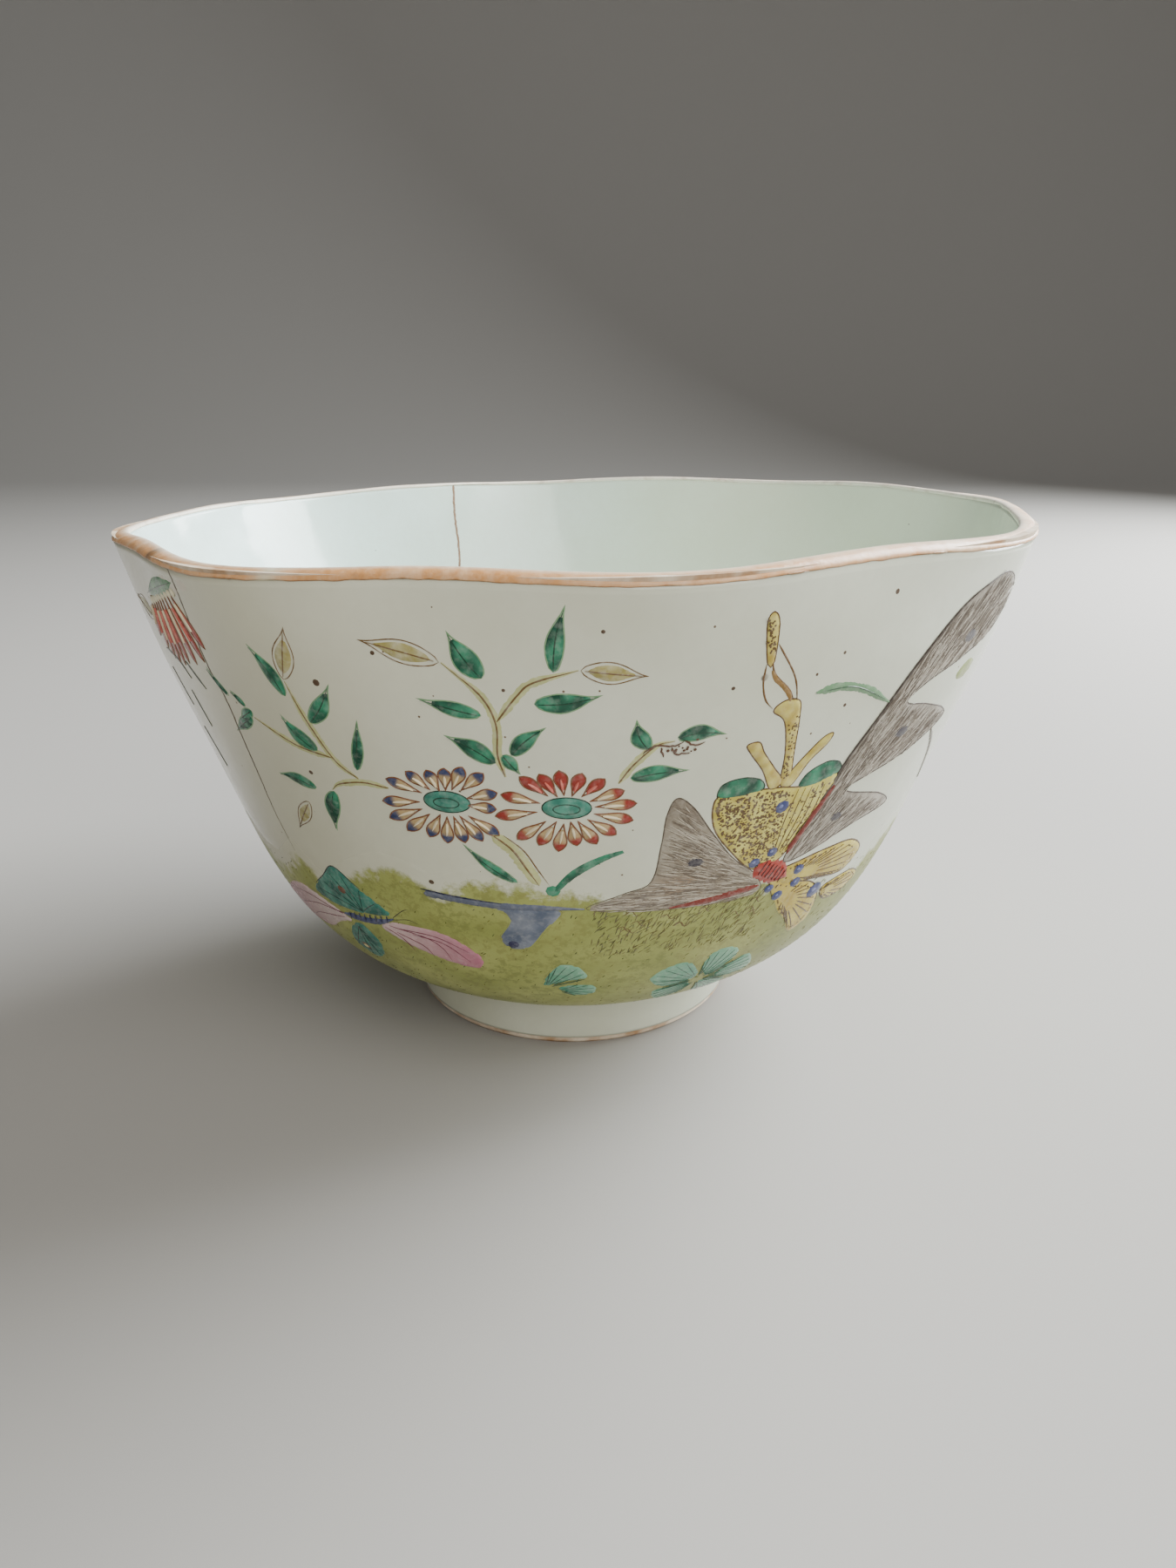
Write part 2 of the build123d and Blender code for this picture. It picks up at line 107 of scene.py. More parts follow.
def make_area_light(name, place, size, power, colour):
    """Soft light that faces the bowl."""
    data = bpy.data.lights.new(name, "AREA")
    data.shape = "RECTANGLE"
    data.size, data.size_y = size
    data.energy = power
    data.color = colour
    light = add_object(name, data)
    light.location = place
    light.rotation_euler = (BOWL_MIDDLE - Vector(place)).to_track_quat("-Z", "Y").to_euler()


def make_world():
    world = bpy.data.worlds.new("studio")
    world.use_nodes = True
    background = world.node_tree.nodes["Background"]
    background.inputs["Color"].default_value = (0.80, 0.81, 0.82, 1)
    background.inputs["Strength"].default_value = 0.37
    bpy.context.scene.world = world


def make_floor():
    """A wide, pale, plain sheet that the bowl stands on, swept up behind it."""
    track = [(-FLOOR_REACH, 0.0), (SWEEP_FROM, 0.0)]
    for angle in np.linspace(0, math.pi / 2, 25)[1:]:
        track.append((SWEEP_FROM + SWEEP_RADIUS * math.sin(angle), SWEEP_RADIUS * (1 - math.cos(angle))))
    track.append((SWEEP_FROM + SWEEP_RADIUS, FLOOR_REACH))
    corners = [(x, y, z) for y, z in track for x in (-FLOOR_REACH, FLOOR_REACH)]
    faces = [(2 * k, 2 * k + 1, 2 * k + 3, 2 * k + 2) for k in range(len(track) - 1)]
    material = bpy.data.materials.new("floor")
    material.use_nodes = True
    shader = material.node_tree.nodes["Principled BSDF"]
    shader.inputs["Base Color"].default_value = (0.34, 0.325, 0.30, 1)
    shader.inputs["Roughness"].default_value = 0.9
    add_object("floor", make_mesh("floor", corners, faces, material))


make_camera()
make_world()
make_floor()
make_area_light("window", (0.55, 0.30, 0.42), (0.6, 0.6), 29.0, (0.93, 0.97, 1.0))
make_area_light("fill", (0.35, -0.7, 0.65), (0.9, 0.7), 9.5, (1.0, 0.98, 0.94))

# ---------------------------------------------------------------- the bowl's wall
# (radius, height) of the outer face of the wall, from the foot ring to the lip, in millimetres.
WALL = [(23.4, 7.2), (29.6, 10.2), (36.7, 15.6), (42.9, 25.2), (47.5, 37.3), (52.9, 52.3), (57.0, 67.4)]
WALL_FOOT = 7.2
WALL_HEIGHT = 60.2
LIP_DRIFT = 0.75
LIP_TILT = 1.17 / 57.0
TILT_FROM = 0.4
COLUMNS = 360
ROW_STEP = 0.5
RAY_REACH = 12.0
SLOPE_STEP = 0.2


def smooth_curve(points, count):
    """Evenly spaced points on the natural cubic spline through a few points."""
    points = np.array(points, float)
    knots = np.concatenate([[0], np.cumsum(np.linalg.norm(np.diff(points, axis=0), axis=1))])
    gaps = np.diff(knots)
    size = len(points)
    system = np.eye(size)
    slopes = np.zeros_like(points)
    for i in range(1, size - 1):
        system[i, i - 1:i + 2] = (gaps[i - 1], 2 * (gaps[i - 1] + gaps[i]), gaps[i])
        slopes[i] = 6 * ((points[i + 1] - points[i]) / gaps[i] - (points[i] - points[i - 1]) / gaps[i - 1])
    bends = np.linalg.solve(system, slopes)
    fine = np.linspace(0, knots[-1], 4 * count)
    k = np.clip(np.searchsorted(knots, fine) - 1, 0, size - 2)
    a = ((knots[k + 1] - fine) / gaps[k])[:, None]
    b = 1 - a
    step = (gaps[k] ** 2 / 6)[:, None]
    line = a * points[k] + b * points[k + 1] + ((a ** 3 - a) * bends[k] + (b ** 3 - b) * bends[k + 1]) * step
    length = np.concatenate([[0], np.cumsum(np.linalg.norm(np.diff(line, axis=0), axis=1))])
    even = np.linspace(0, length[-1], count)
    return np.stack([np.interp(even, length, line[:, i]) for i in range(2)], -1), length[-1]


PROFILE, WALL_LENGTH = smooth_curve(WALL, 600)
LIP = WALL_LENGTH
ROWS = int(WALL_LENGTH / ROW_STEP) + 1
RISES = np.linspace(0, WALL_LENGTH, ROWS)
AZIMUTHS = np.arange(COLUMNS) * 360.0 / COLUMNS


def profile_at(rise):
    """Radius, height, and outward normal of the wall's profile at a rise."""
    share = np.linspace(0, WALL_LENGTH, len(PROFILE))
    before, (radius, height), after = (
        [np.interp(at, share, PROFILE[:, i]) for i in range(2)]
        for at in (rise - SLOPE_STEP, rise, rise + SLOPE_STEP))
    out, up = after[0] - before[0], after[1] - before[1]
    size = math.hypot(out, up)
    return radius, height, up / size, -out / size


def leaned(radius, height, aim):
    """Point at a place on the profile, tilted and drifted about as the firing left the bowl."""
    up = (height - WALL_FOOT) / WALL_HEIGHT
    share = max(0.0, (up - TILT_FROM) / (1 - TILT_FROM)) ** 2.5
    x, y = math.sin(aim) * radius, -math.cos(aim) * radius
    return Vector((LIP_DRIFT * up + x, y, height + LIP_TILT * share * x))


def feel_wall(node, start, sign):
    """Grid of the points where rays along the wall's normal meet a node."""
    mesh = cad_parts[node].data
    corners = [vertex.co / MM for vertex in mesh.vertices]
    tree = BVHTree.FromPolygons(corners, [face.vertices for face in mesh.polygons])
    grid = np.full((ROWS, COLUMNS, 3), np.nan)
    for row, rise in enumerate(RISES):
        radius, height, side, lift = profile_at(rise)
        for column, aim in enumerate(np.radians(AZIMUTHS)):
            out = Vector((math.sin(aim) * side, -math.cos(aim) * side, lift))
            hit = tree.ray_cast(leaned(radius, height, aim) + out * start, out * sign, RAY_REACH)[0]
            if hit is not None:
                grid[row, column] = hit
    return grid


def mend(grid):
    """Fills rows that the rays missed by carrying on from the rows beside them, then smooths."""
    good = [row for row in range(ROWS) if not np.isnan(grid[row]).any()]
    for row in range(good[0] - 1, -1, -1):
        grid[row] = 2 * grid[row + 1] - grid[row + 2]
    for row in range(good[-1] + 1, ROWS):
        grid[row] = 2 * grid[row - 1] - grid[row - 2]
    for _ in range(6):
        grid = (np.roll(grid, 1, 1) + 2 * grid + np.roll(grid, -1, 1)) / 4
        grid[1:-1] = (grid[:-2] + 2 * grid[1:-1] + grid[2:]) / 4
    return grid


def normals_of(grid):
    across = np.roll(grid, -1, 1) - np.roll(grid, 1, 1)
    normal = np.cross(across, np.gradient(grid, axis=0))
    return normal / np.linalg.norm(normal, axis=-1, keepdims=True)


OUTSIDE = mend(feel_wall("outer_glaze", 6.0, -1))
INSIDE = mend(feel_wall("inner_glaze", -9.0, 1))
OUTWARD = normals_of(OUTSIDE)
INWARD = -normals_of(INSIDE)


def on_grid(grid, azimuth, rise):
    """Value of a wall grid between its points."""
    column = (np.asarray(azimuth, float) % 360.0) * COLUMNS / 360.0
    row = np.clip(np.asarray(rise, float) / WALL_LENGTH * (ROWS - 1), 0, ROWS - 1.001)
    c0 = np.floor(column).astype(int)
    r0 = np.floor(row).astype(int)
    u = (column - c0)[..., None]
    v = (row - r0)[..., None]
    c0 = c0 % COLUMNS
    c1 = (c0 + 1) % COLUMNS
    low = grid[r0, c0] * (1 - u) + grid[r0, c1] * u
    high = grid[r0 + 1, c0] * (1 - u) + grid[r0 + 1, c1] * u
    return low * (1 - v) + high * v


def outside(azimuth, rise, lift):
    return on_grid(OUTSIDE, azimuth, rise) + on_grid(OUTWARD, azimuth, rise) * np.asarray(lift)[..., None]


def inside(azimuth, rise, lift):
    return on_grid(INSIDE, azimuth, rise) + on_grid(INWARD, azimuth, rise) * np.asarray(lift)[..., None]


# ---------------------------------------------------------------- materials
def srgb(r, g, b):
    """Linear colour from 0-255 screen values."""
    return tuple(((c / 255 + 0.055) / 1.055) ** 2.4 for c in (r, g, b))


class Nodes:
    """Short way to add and join shader nodes."""

    def __init__(self, name):
        self.material = bpy.data.materials.new(name)
        self.material.use_nodes = True
        self.tree = self.material.node_tree
        self.shader = self.tree.nodes["Principled BSDF"]
        self.where = self.tree.nodes.new("ShaderNodeNewGeometry").outputs["Position"]

    def plug(self, value, socket):
        if isinstance(value, bpy.types.NodeSocket):
            self.tree.links.new(value, socket)
        else:
            socket.default_value = value

    def put(self, kind, **values):
        node = self.tree.nodes.new(kind)
        for key, value in values.items():
            if key in node.inputs:
                self.plug(value, node.inputs[key])
            else:
                setattr(node, key, value)
        return node

    def noise(self, scale, detail=4.0, rough=0.55):
        node = self.put("ShaderNodeTexNoise", Scale=scale, Detail=detail, Roughness=rough, Vector=self.where)
        return node.outputs["Fac"]

    def cells(self, scale):
        return self.put("ShaderNodeTexVoronoi", Scale=scale, Vector=self.where).outputs["Distance"]

    def remap(self, value, low, high, to_low=0.0, to_high=1.0):
        node = self.put("ShaderNodeMapRange", Value=value)
        for socket, number in zip(("From Min", "From Max", "To Min", "To Max"), (low, high, to_low, to_high)):
            node.inputs[socket].default_value = number
        return node.outputs["Result"]

    def maths(self, operation, a, b):
        node = self.put("ShaderNodeMath", operation=operation)
        self.plug(a, node.inputs[0])
        self.plug(b, node.inputs[1])
        return node.outputs[0]

    def mix(self, share, a, b, kind="MIX"):
        node = self.put("ShaderNodeMix", data_type="RGBA", blend_type=kind)
        for socket, value in zip((0, 6, 7), (share, a, b)):
            self.plug(value + (1.0,) if isinstance(value, tuple) else value, node.inputs[socket])
        return node.outputs[2]

    def attribute(self, name, output="Color"):
        return self.put("ShaderNodeAttribute", attribute_name=name).outputs[output]

    def bump(self, height, strength, distance):
        node = self.put("ShaderNodeBump", Height=height, Strength=strength, Distance=distance)
        self.tree.links.new(node.outputs["Normal"], self.shader.inputs["Normal"])

    def finish(self, colour, rough, specular=0.5):
        self.plug(colour, self.shader.inputs["Base Color"])
        self.plug(rough, self.shader.inputs["Roughness"])
        self.shader.inputs["Specular IOR Level"].default_value = specular
        return self.material


GLAZE_TINT = srgb(214, 219, 202)
GLAZE_SHADE = srgb(200, 204, 184)
# Warmer, darker tint for the side of the wall away from the light: painted shade.
GLAZE_SHADED_SIDE = srgb(200, 188, 154)


def glaze_colour(nodes, pale=GLAZE_TINT, deep=GLAZE_SHADE, shaded_side=GLAZE_SHADED_SIDE, shade_deepest_at=-0.045, shade_gone_at=0.045):
    """Milky glaze: slow clouding, fine greying, the side away from the light tinted warmer as painted shade,
    and a few iron specks.
    """
    cloud = nodes.remap(nodes.noise(45.0, 3.0), 0.35, 0.68)
    fine = nodes.remap(nodes.noise(900.0, 2.0), 0.3, 0.8, 0.0, 0.12)
    colour = nodes.mix(fine, nodes.mix(cloud, pale, deep), srgb(176, 176, 160))
    # Painted shade: the wall is tinted warmer across X on the side away from the light.
    split = nodes.put("ShaderNodeSeparateXYZ", Vector=nodes.where)
    sway = nodes.maths("ADD", split.outputs["X"], nodes.maths("MULTIPLY", nodes.noise(18.0, 2.0), 0.03))
    colour = nodes.mix(nodes.remap(sway, shade_deepest_at, shade_gone_at, 0.60, 0.0), colour, shaded_side)
    speck = nodes.remap(nodes.cells(95.0), 0.03, 0.045, 1.0, 0.0)
    pick = nodes.remap(nodes.noise(60.0, 1.0), 0.56, 0.60)
    return nodes.mix(nodes.maths("MULTIPLY", speck, pick), colour, srgb(92, 78, 60))


def make_glaze(name, *tints):
    nodes = Nodes(name)
    rough = nodes.remap(nodes.noise(220.0, 3.0), 0.3, 0.7, 0.10, 0.19)
    swell = nodes.maths("ADD", nodes.noise(70.0, 2.0), nodes.maths("MULTIPLY", nodes.noise(600.0, 2.0), 0.06))
    nodes.bump(swell, 0.35, 0.0006)
    return nodes.finish(glaze_colour(nodes, *tints), rough)


def make_enamel(name, rough=0.22, grain=0.10):
    """Painted enamel: its colour is laid on by the brush, broken by pooling and fine grain."""
    nodes = Nodes(name)
    pooled = nodes.remap(nodes.noise(500.0, 4.0), 0.32, 0.70, 0.0, 2.2 * grain)
    colour = nodes.mix(pooled, nodes.attribute("paint"), (0.34, 0.33, 0.30), "MULTIPLY")
    light = nodes.remap(nodes.noise(1500.0, 2.0), 0.45, 0.75, 0.0, grain)
    colour = nodes.mix(light, colour, (0.9, 0.88, 0.8))
    nodes.bump(nodes.noise(900.0, 3.0), 0.35, 0.00012)
    gloss = nodes.remap(nodes.noise(700.0, 2.0), 0.3, 0.7, rough - 0.06, rough + 0.08)
    return nodes.finish(colour, gloss, 0.38)


def make_wash(name):
    """Thin green ground: stippled, and worn through to the glaze where its cover is low."""
    nodes = Nodes(name)
    dab = nodes.remap(nodes.noise(900.0, 5.0, 0.75), 0.48, 0.58)
    broad = nodes.remap(nodes.noise(140.0, 4.0), 0.35, 0.68)
    dark = nodes.mix(broad, srgb(100, 108, 48), srgb(132, 128, 66))
    colour = nodes.mix(nodes.maths("MULTIPLY", dab, 0.55), nodes.attribute("paint"), dark)
    grain = nodes.remap(nodes.noise(520.0, 5.0, 0.7), 0.25, 0.75, -0.42, 0.42)
    solid = nodes.remap(nodes.maths("ADD", nodes.attribute("cover", "Fac"), grain), 0.32, 0.68)
    nodes.bump(nodes.noise(700.0, 4.0), 0.35, 0.00012)
    return nodes.finish(nodes.mix(solid, glaze_colour(nodes), colour), 0.34, 0.35)


def make_dressing():
    """Iron-brown lip dressing, rubbed pale in places, and paler on the side towards the light as painted
    highlight.
    """
    nodes = Nodes("rim_dressing")
    grain = nodes.remap(nodes.noise(1100.0, 5.0, 0.7), 0.42, 0.66)
    colour = nodes.mix(nodes.maths("MULTIPLY", grain, 0.3), nodes.attribute("paint"), srgb(220, 200, 172))
    dark = nodes.remap(nodes.noise(420.0, 4.0), 0.55, 0.72)
    colour = nodes.mix(nodes.maths("MULTIPLY", dark, 0.35), colour, srgb(140, 94, 58))
    nodes.bump(nodes.noise(900.0, 4.0), 0.5, 0.0002)
    return nodes.finish(colour, 0.38)


def make_biscuit():
    """Bare, fired clay of the foot rim."""
    nodes = Nodes("porcelain")
    stain = nodes.remap(nodes.noise(260.0, 4.0), 0.38, 0.66)
    nodes.bump(nodes.noise(1600.0, 3.0), 0.5, 0.0001)
    return nodes.finish(nodes.mix(stain, srgb(214, 200, 178), srgb(164, 128, 92)), 0.75, 0.3)


# ---------------------------------------------------------------- glazes and lip dressing
FOOT_PROFILE = [
    (22.7, 1.05), (23.0, 1.12), (23.08, 1.5), (23.12, 3.0), (23.16, 5.6), (23.3, 6.7), (23.75, 7.16),
]
GLAZE_DEPTH = 0.15
GLAZE_END = LIP - 0.5
RIM_COLUMNS = 720
RIM_ARC = 14
RIM_START = LIP - 0.45
RIM_BROWN, RIM_PALE, RIM_INNER, RIM_EDGE, RIM_BARE, RIM_BURNT = (np.array(srgb(*tint)) for tint in (
    (200, 144, 88), (236, 210, 176), (232, 232, 220), (120, 74, 44), (206, 200, 172), (84, 66, 46)))


def blend(a, b, share):
    return a * (1 - share) + b * share


def clipped(share):
    return min(1.0, max(0.0, share))


def thicken(piece, depth):
    solid = piece.modifiers.new("thickness", "SOLIDIFY")
    solid.thickness = depth * MM
    solid.offset = -1.0


def make_outer_glaze():
    aims = np.radians(AZIMUTHS)
    rings = [np.stack([radius * np.sin(aims), -radius * np.cos(aims), np.full(COLUMNS, height)], -1)
             for radius, height in FOOT_PROFILE]
    rings += [outside(AZIMUTHS, rise, 0.0) for rise in (0.7, *np.arange(1.2, LIP - 1.0, 0.55), GLAZE_END)]
    piece = make_piece("outer_glaze_coat", np.concatenate(rings), ring_faces(len(rings), COLUMNS),
                       make_glaze("outer_glaze"), "outer_glaze")
    thicken(piece, GLAZE_DEPTH)


def make_inner_glaze():
    rings = [inside(AZIMUTHS, rise, 0.0) for rise in (GLAZE_END, *np.arange(LIP - 1.0, 1.2, -0.9))]
    edge = rings[-1]
    middle = edge.mean(axis=0)
    for share in (0.9, 0.75, 0.6, 0.45, 0.3, 0.15, 0.04):
        ring = blend(middle, edge, share)
        ring[:, 2] = edge[:, 2].min() - 0.25 * (1 - share) ** 0.5
        rings.append(ring)
    last = (len(rings) - 1) * COLUMNS
    faces = ring_faces(len(rings), COLUMNS) + [tuple(range(last, last + COLUMNS))]
    # Inner wall: its right side, away from the light, is tinted warmer as painted shade.
    tints = srgb(212, 232, 229), srgb(199, 220, 211), srgb(226, 222, 186)
    piece = make_piece("inner_glaze_coat", np.concatenate(rings), faces,
                       make_glaze("inner_glaze", *tints, 0.05, -0.03), "inner_glaze")
    thicken(piece, GLAZE_DEPTH)


def wobble(azimuth, scale, seed):
    """Smooth noise round the bowl, about -1 to 1."""
    aim = math.radians(azimuth)
    return noise.noise(Vector((math.cos(aim) * scale, math.sin(aim) * scale, seed))) * 1.6


def beside(azimuth, place, width):
    """1 at a place on the lip, falling to 0 within a few widths of it, all in degrees."""
    away = (azimuth - place + 180.0) % 360.0 - 180.0
    return math.exp(-(away / width) ** 2)


def make_rim():
    """The lip's rounded dressing, with an uneven lower edge outside and in, rubbed pale in places, paler
    towards the light as painted highlight, and burnt in places.
    """
    tracks, tints = [], []
    for azimuth in np.arange(RIM_COLUMNS) * 360.0 / RIM_COLUMNS:
        drop = 0.58 + 0.08 * wobble(azimuth, 9.0, 3.0) + 0.07 * wobble(azimuth, 40.0, 8.0)
        depth = 0.62 + 0.10 * wobble(azimuth, 7.0, 5.0)
        out_top, in_top = outside(azimuth, RIM_START, 0.09), inside(azimuth, RIM_START, 0.09)
        middle, half = (out_top + in_top) / 2, (out_top - in_top) / 2
        up = np.array((0, 0, 0.54 + 0.048 * wobble(azimuth, 6.0, 21.0)))
        track = [outside(azimuth, LIP - drop, 0.0), outside(azimuth, LIP - drop + 0.1, 0.07)]
        for angle in np.linspace(0, math.pi, RIM_ARC + 1):
            side = math.copysign(abs(math.cos(angle)) ** 0.85, math.cos(angle))
            track.append(middle + half * side + up * math.sin(angle) ** 0.85)
        track += [inside(azimuth, LIP - depth + 0.1, 0.06), inside(azimuth, LIP - depth, 0.0)]
        tracks.append(track)
        # The cosine makes the lip paler towards the right and back, where the light falls: painted highlight.
        # The wobbles are rubbed wear.
        wear_and_light = 0.32 - 0.28 * math.cos(math.radians(azimuth + 40))
        wear_and_light += 0.30 * wobble(azimuth, 14.0, 1.0) + 0.20 * wobble(azimuth, 60.0, 2.0)
        gap = 0.85 * beside(azimuth, -28.4, 1.1)
        burn = 0.75 * beside(azimuth, -50.0, 2.2) * clipped(0.5 + 1.6 * wobble(azimuth, 70.0, 4.0))
        column = []
        for k in range(len(track)):
            inner = clipped((k - 8) / 5.0)
            worn = blend(RIM_BROWN, RIM_PALE, clipped(wear_and_light + 0.3 * inner))
            worn = blend(worn, RIM_EDGE, 0.6 if k <= 1 else 0.0)
            worn = blend(blend(worn, RIM_BARE, gap), RIM_BURNT, burn)
            column.append(blend(worn, RIM_INNER, 0.75 * inner))
        tints.append(column)
    points, paint = (np.array(rows).transpose(1, 0, 2).reshape(-1, 3) for rows in (tracks, tints))
    piece = make_piece("lip_dressing", points, ring_faces(len(tracks[0]), RIM_COLUMNS), make_dressing(),
                       "rim_dressing", paint=paint)
    thicken(piece, 0.06)


make_outer_glaze()
make_inner_glaze()
make_rim()
for cad_name, coat in (("porcelain_body", make_biscuit()), ("base_glaze", make_glaze("base_glaze"))):
    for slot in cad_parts[cad_name].material_slots:
        slot.material = coat

# ---------------------------------------------------------------- the painter's tools
# Every motif is drawn in (degrees round the bowl from the front, mm up the wall from the foot).
# Edges of the paint lie a little below the glaze, so that nothing floats.
PAINT_RISE = 0.35
SUNK = -0.012
RANDOM = np.random.default_rng(7)


class Coat:
    """Gathers the patches, strokes and dots of one enamel until they are laid on the wall."""

    def __init__(self, node):
        self.node = node
        self.places, self.colours, self.faces = [], [], []
        self.count = 0

    def add(self, azimuth, rise, lift, colour, faces):
        azimuth, rise, lift = np.broadcast_arrays(azimuth, rise, lift)
        self.places.append(np.stack([azimuth, rise, lift], -1).astype(float))
        self.colours.append(np.broadcast_to(colour, (len(azimuth), 3)))
        self.faces += [tuple(int(i) + self.count for i in face) for face in faces]
        self.count += len(azimuth)

    def lay(self, material, turns=(0, 180), side=outside, replaces=True):
        azimuth, rise, lift = np.concatenate(self.places).T
        points = np.concatenate([side(azimuth + turn, rise + PAINT_RISE, lift) for turn in turns])
        faces = [tuple(i + n * self.count for i in face) for n in range(len(turns)) for face in self.faces]
        paint = np.concatenate(self.colours * len(turns))
        name = self.node + ("_enamel" if replaces else "_marks")
        make_piece(name, points, faces, material, self.node, replaces, paint)


def ink(r, g, b):
    """Paint colour, a little deeper than it should look, since the glaze lightens it."""
    return np.array([channel ** 1.18 for channel in srgb(r, g, b)])


def scale_at(rise):
    """Millimetres on the wall for each of a place's (degrees, mm) at a rise."""
    return np.array((profile_at(rise)[0] * math.pi / 180, 1.0))


def clouds(u, v, seed):
    """Smooth noise at each of a list of places."""
    return np.array([noise.noise(Vector((a, b, seed))) for a, b in zip(u, v)])


def curve(points, closed=False, step=0.3):
    """Smooth curve through a few (degrees, mm) points, evenly sampled."""
    points = np.array(points, float)
    scale = scale_at(points[:, 1].mean())
    line = points * scale
    count = len(line)
    samples = []
    for i in range(count if closed else count - 1):
        p0 = line[(i - 1) % count] if closed or i > 0 else 2 * line[0] - line[1]
        p1, p2 = line[i], line[(i + 1) % count]
        p3 = line[(i + 2) % count] if closed or i + 2 < count else 2 * line[-1] - line[-2]
        pieces = max(2, int(np.linalg.norm(p2 - p1) / step))
        for t in np.arange(pieces) / pieces:
            bend = 2 * p1 + (p2 - p0) * t + (2 * p0 - 5 * p1 + 4 * p2 - p3) * t * t
            samples.append((bend + (3 * p1 - p0 - 3 * p2 + p3) * t ** 3) / 2)
    if not closed:
        samples.append(line[-1])
    return np.array(samples) / scale


def gaps_to(points, outline):
    """Distance of each point from a closed outline."""
    step = np.roll(outline, -1, 0) - outline
    length = np.maximum((step ** 2).sum(-1), 1e-9)
    away = points[:, None] - outline[None]
    share = np.clip((away * step[None]).sum(-1) / length, 0, 1)
    return np.sqrt(((away - share[..., None] * step[None]) ** 2).sum(-1)).min(1)


def within(points, outline):
    """Whether each point is inside a closed outline."""
    x, y = points[:, 0], points[:, 1]
    found = np.zeros(len(points), bool)
    for (x0, y0), (x1, y1) in zip(outline, np.roll(outline, -1, 0)):
        if y0 != y1:
            found ^= ((y0 > y) != (y1 > y)) & (x < (x1 - x0) * (y - y0) / (y1 - y0) + x0)
    return found


def patch(coat, outline, colour, height=0.12, step=0.5, soft=0.4):
    """Pool of enamel inside a closed outline, domed a little, with a rounded edge."""
    scale = scale_at(outline[:, 1].mean())
    flat = outline * scale
    low, high = flat.min(0), flat.max(0)
    across = np.arange(low[0], high[0], step)
    up = np.arange(low[1], high[1], step * 0.87)
    grid = np.array([(x + (i % 2) * step / 2, y) for i, y in enumerate(up) for x in across])
    grid = grid[within(grid, flat)]
    points = np.concatenate([flat, grid[gaps_to(grid, flat) > 0.3 * step]])
    mesh = delaunay_2d_cdt([Vector(p) for p in points], [], [list(range(len(flat)))], 1, 1e-6)
    places = np.array([tuple(p) for p in mesh[0]])
    edge = gaps_to(places, flat)
    share = np.clip(edge / soft, 0, 1)
    azimuth, rise = (places / scale).T
    tint = colour(azimuth, rise, edge) if callable(colour) else colour
    coat.add(azimuth, rise, SUNK + height * np.sqrt(share * (2 - share)), tint, mesh[2])


def stroke(coat, points, width, colour, height=0.07, base=SUNK, taper=(0.15, 0.3), smooth=True, shake=0.0):
    """Brush line: widest in its middle and thin at its ends."""
    line = curve(points, step=0.25) if smooth else np.array(points, float)
    scale = scale_at(line[:, 1].mean())
    flat = line * scale
    along = np.gradient(flat, axis=0)
    along /= np.maximum(np.linalg.norm(along, axis=1, keepdims=True), 1e-9)
    side = np.stack([-along[:, 1], along[:, 0]], -1)
    count = len(flat)
    share = np.linspace(0, 1, count)
    swell = np.minimum(1, 0.25 + share / taper[0]) * np.minimum(1, 0.12 + (1 - share) / taper[1])
    wide = width * swell * (1 + 0.07 * RANDOM.standard_normal(count))
    if shake:
        flat = flat + side * (shake * RANDOM.standard_normal((count, 1)))
    rows = np.array([flat + side * (offset * wide)[:, None] for offset in (-0.5, -0.28, 0.0, 0.28, 0.5)])
    lift = base + height * np.repeat((0.0, 0.8, 1.0, 0.8, 0.0), count)
    starts = [row * count + i for row in range(4) for i in range(count - 1)]
    faces = [(a + count, a + count + 1, a + 1, a) for a in starts]
    azimuth, rise = (rows.reshape(-1, 2) / scale).T
    coat.add(azimuth, rise, lift, colour, faces)


def dot(coat, azimuth, rise, size, colour, height=0.06, base=SUNK, stretch=1.0, angle=0.0):
    """Round or oval touch of the brush."""
    count = 8
    turn = np.arange(count) * 2 * math.pi / count
    x, y = np.cos(turn) * size * stretch, np.sin(turn) * size
    u = x * math.cos(angle) - y * math.sin(angle)
    v = x * math.sin(angle) + y * math.cos(angle)
    azimuths = azimuth + np.concatenate([u, 0.6 * u, [0]]) / scale_at(rise)[0]
    rises = rise + np.concatenate([v, 0.6 * v, [0]])
    lift = base + height * np.concatenate([np.zeros(count), np.full(count, 0.75), [1]])
    faces = []
    for i in range(count):
        j = (i + 1) % count
        faces += [(i, j, count + j, count + i), (count + i, count + j, 2 * count)]
    coat.add(azimuths, rises, lift, colour, faces)


def lens(base, tip, width, fat=0.42, bend=0.0, count=14, sharp=0.0):
    """Outline and spine of a leaf from its base to its tip, widest a little below its middle."""
    scale = scale_at((base[1] + tip[1]) / 2)
    start, end = np.array(base) * scale, np.array(tip) * scale
    axis = end - start
    side = np.array((-axis[1], axis[0])) / np.linalg.norm(axis)
    share = np.linspace(0, 1, count)
    half = width / 2 * np.sin(math.pi * share ** (math.log(0.5) / math.log(fat))) ** (0.8 + sharp * share)
    spine = start + share[:, None] * axis + side * (bend * np.sin(math.pi * share))[:, None]
    left = spine + side * half[:, None]
    right = (spine - side * half[:, None])[-2:0:-1]
    return np.concatenate([left, right]) / scale, spine / scale


def share_along(base, tip, azimuth, rise):
    """How far each place is on the way from a base to a tip, 0 to 1."""
    axis = np.subtract(tip, base)
    return np.clip(((azimuth - base[0]) * axis[0] + (rise - base[1]) * axis[1]) / (axis ** 2).sum(), 0, 1)


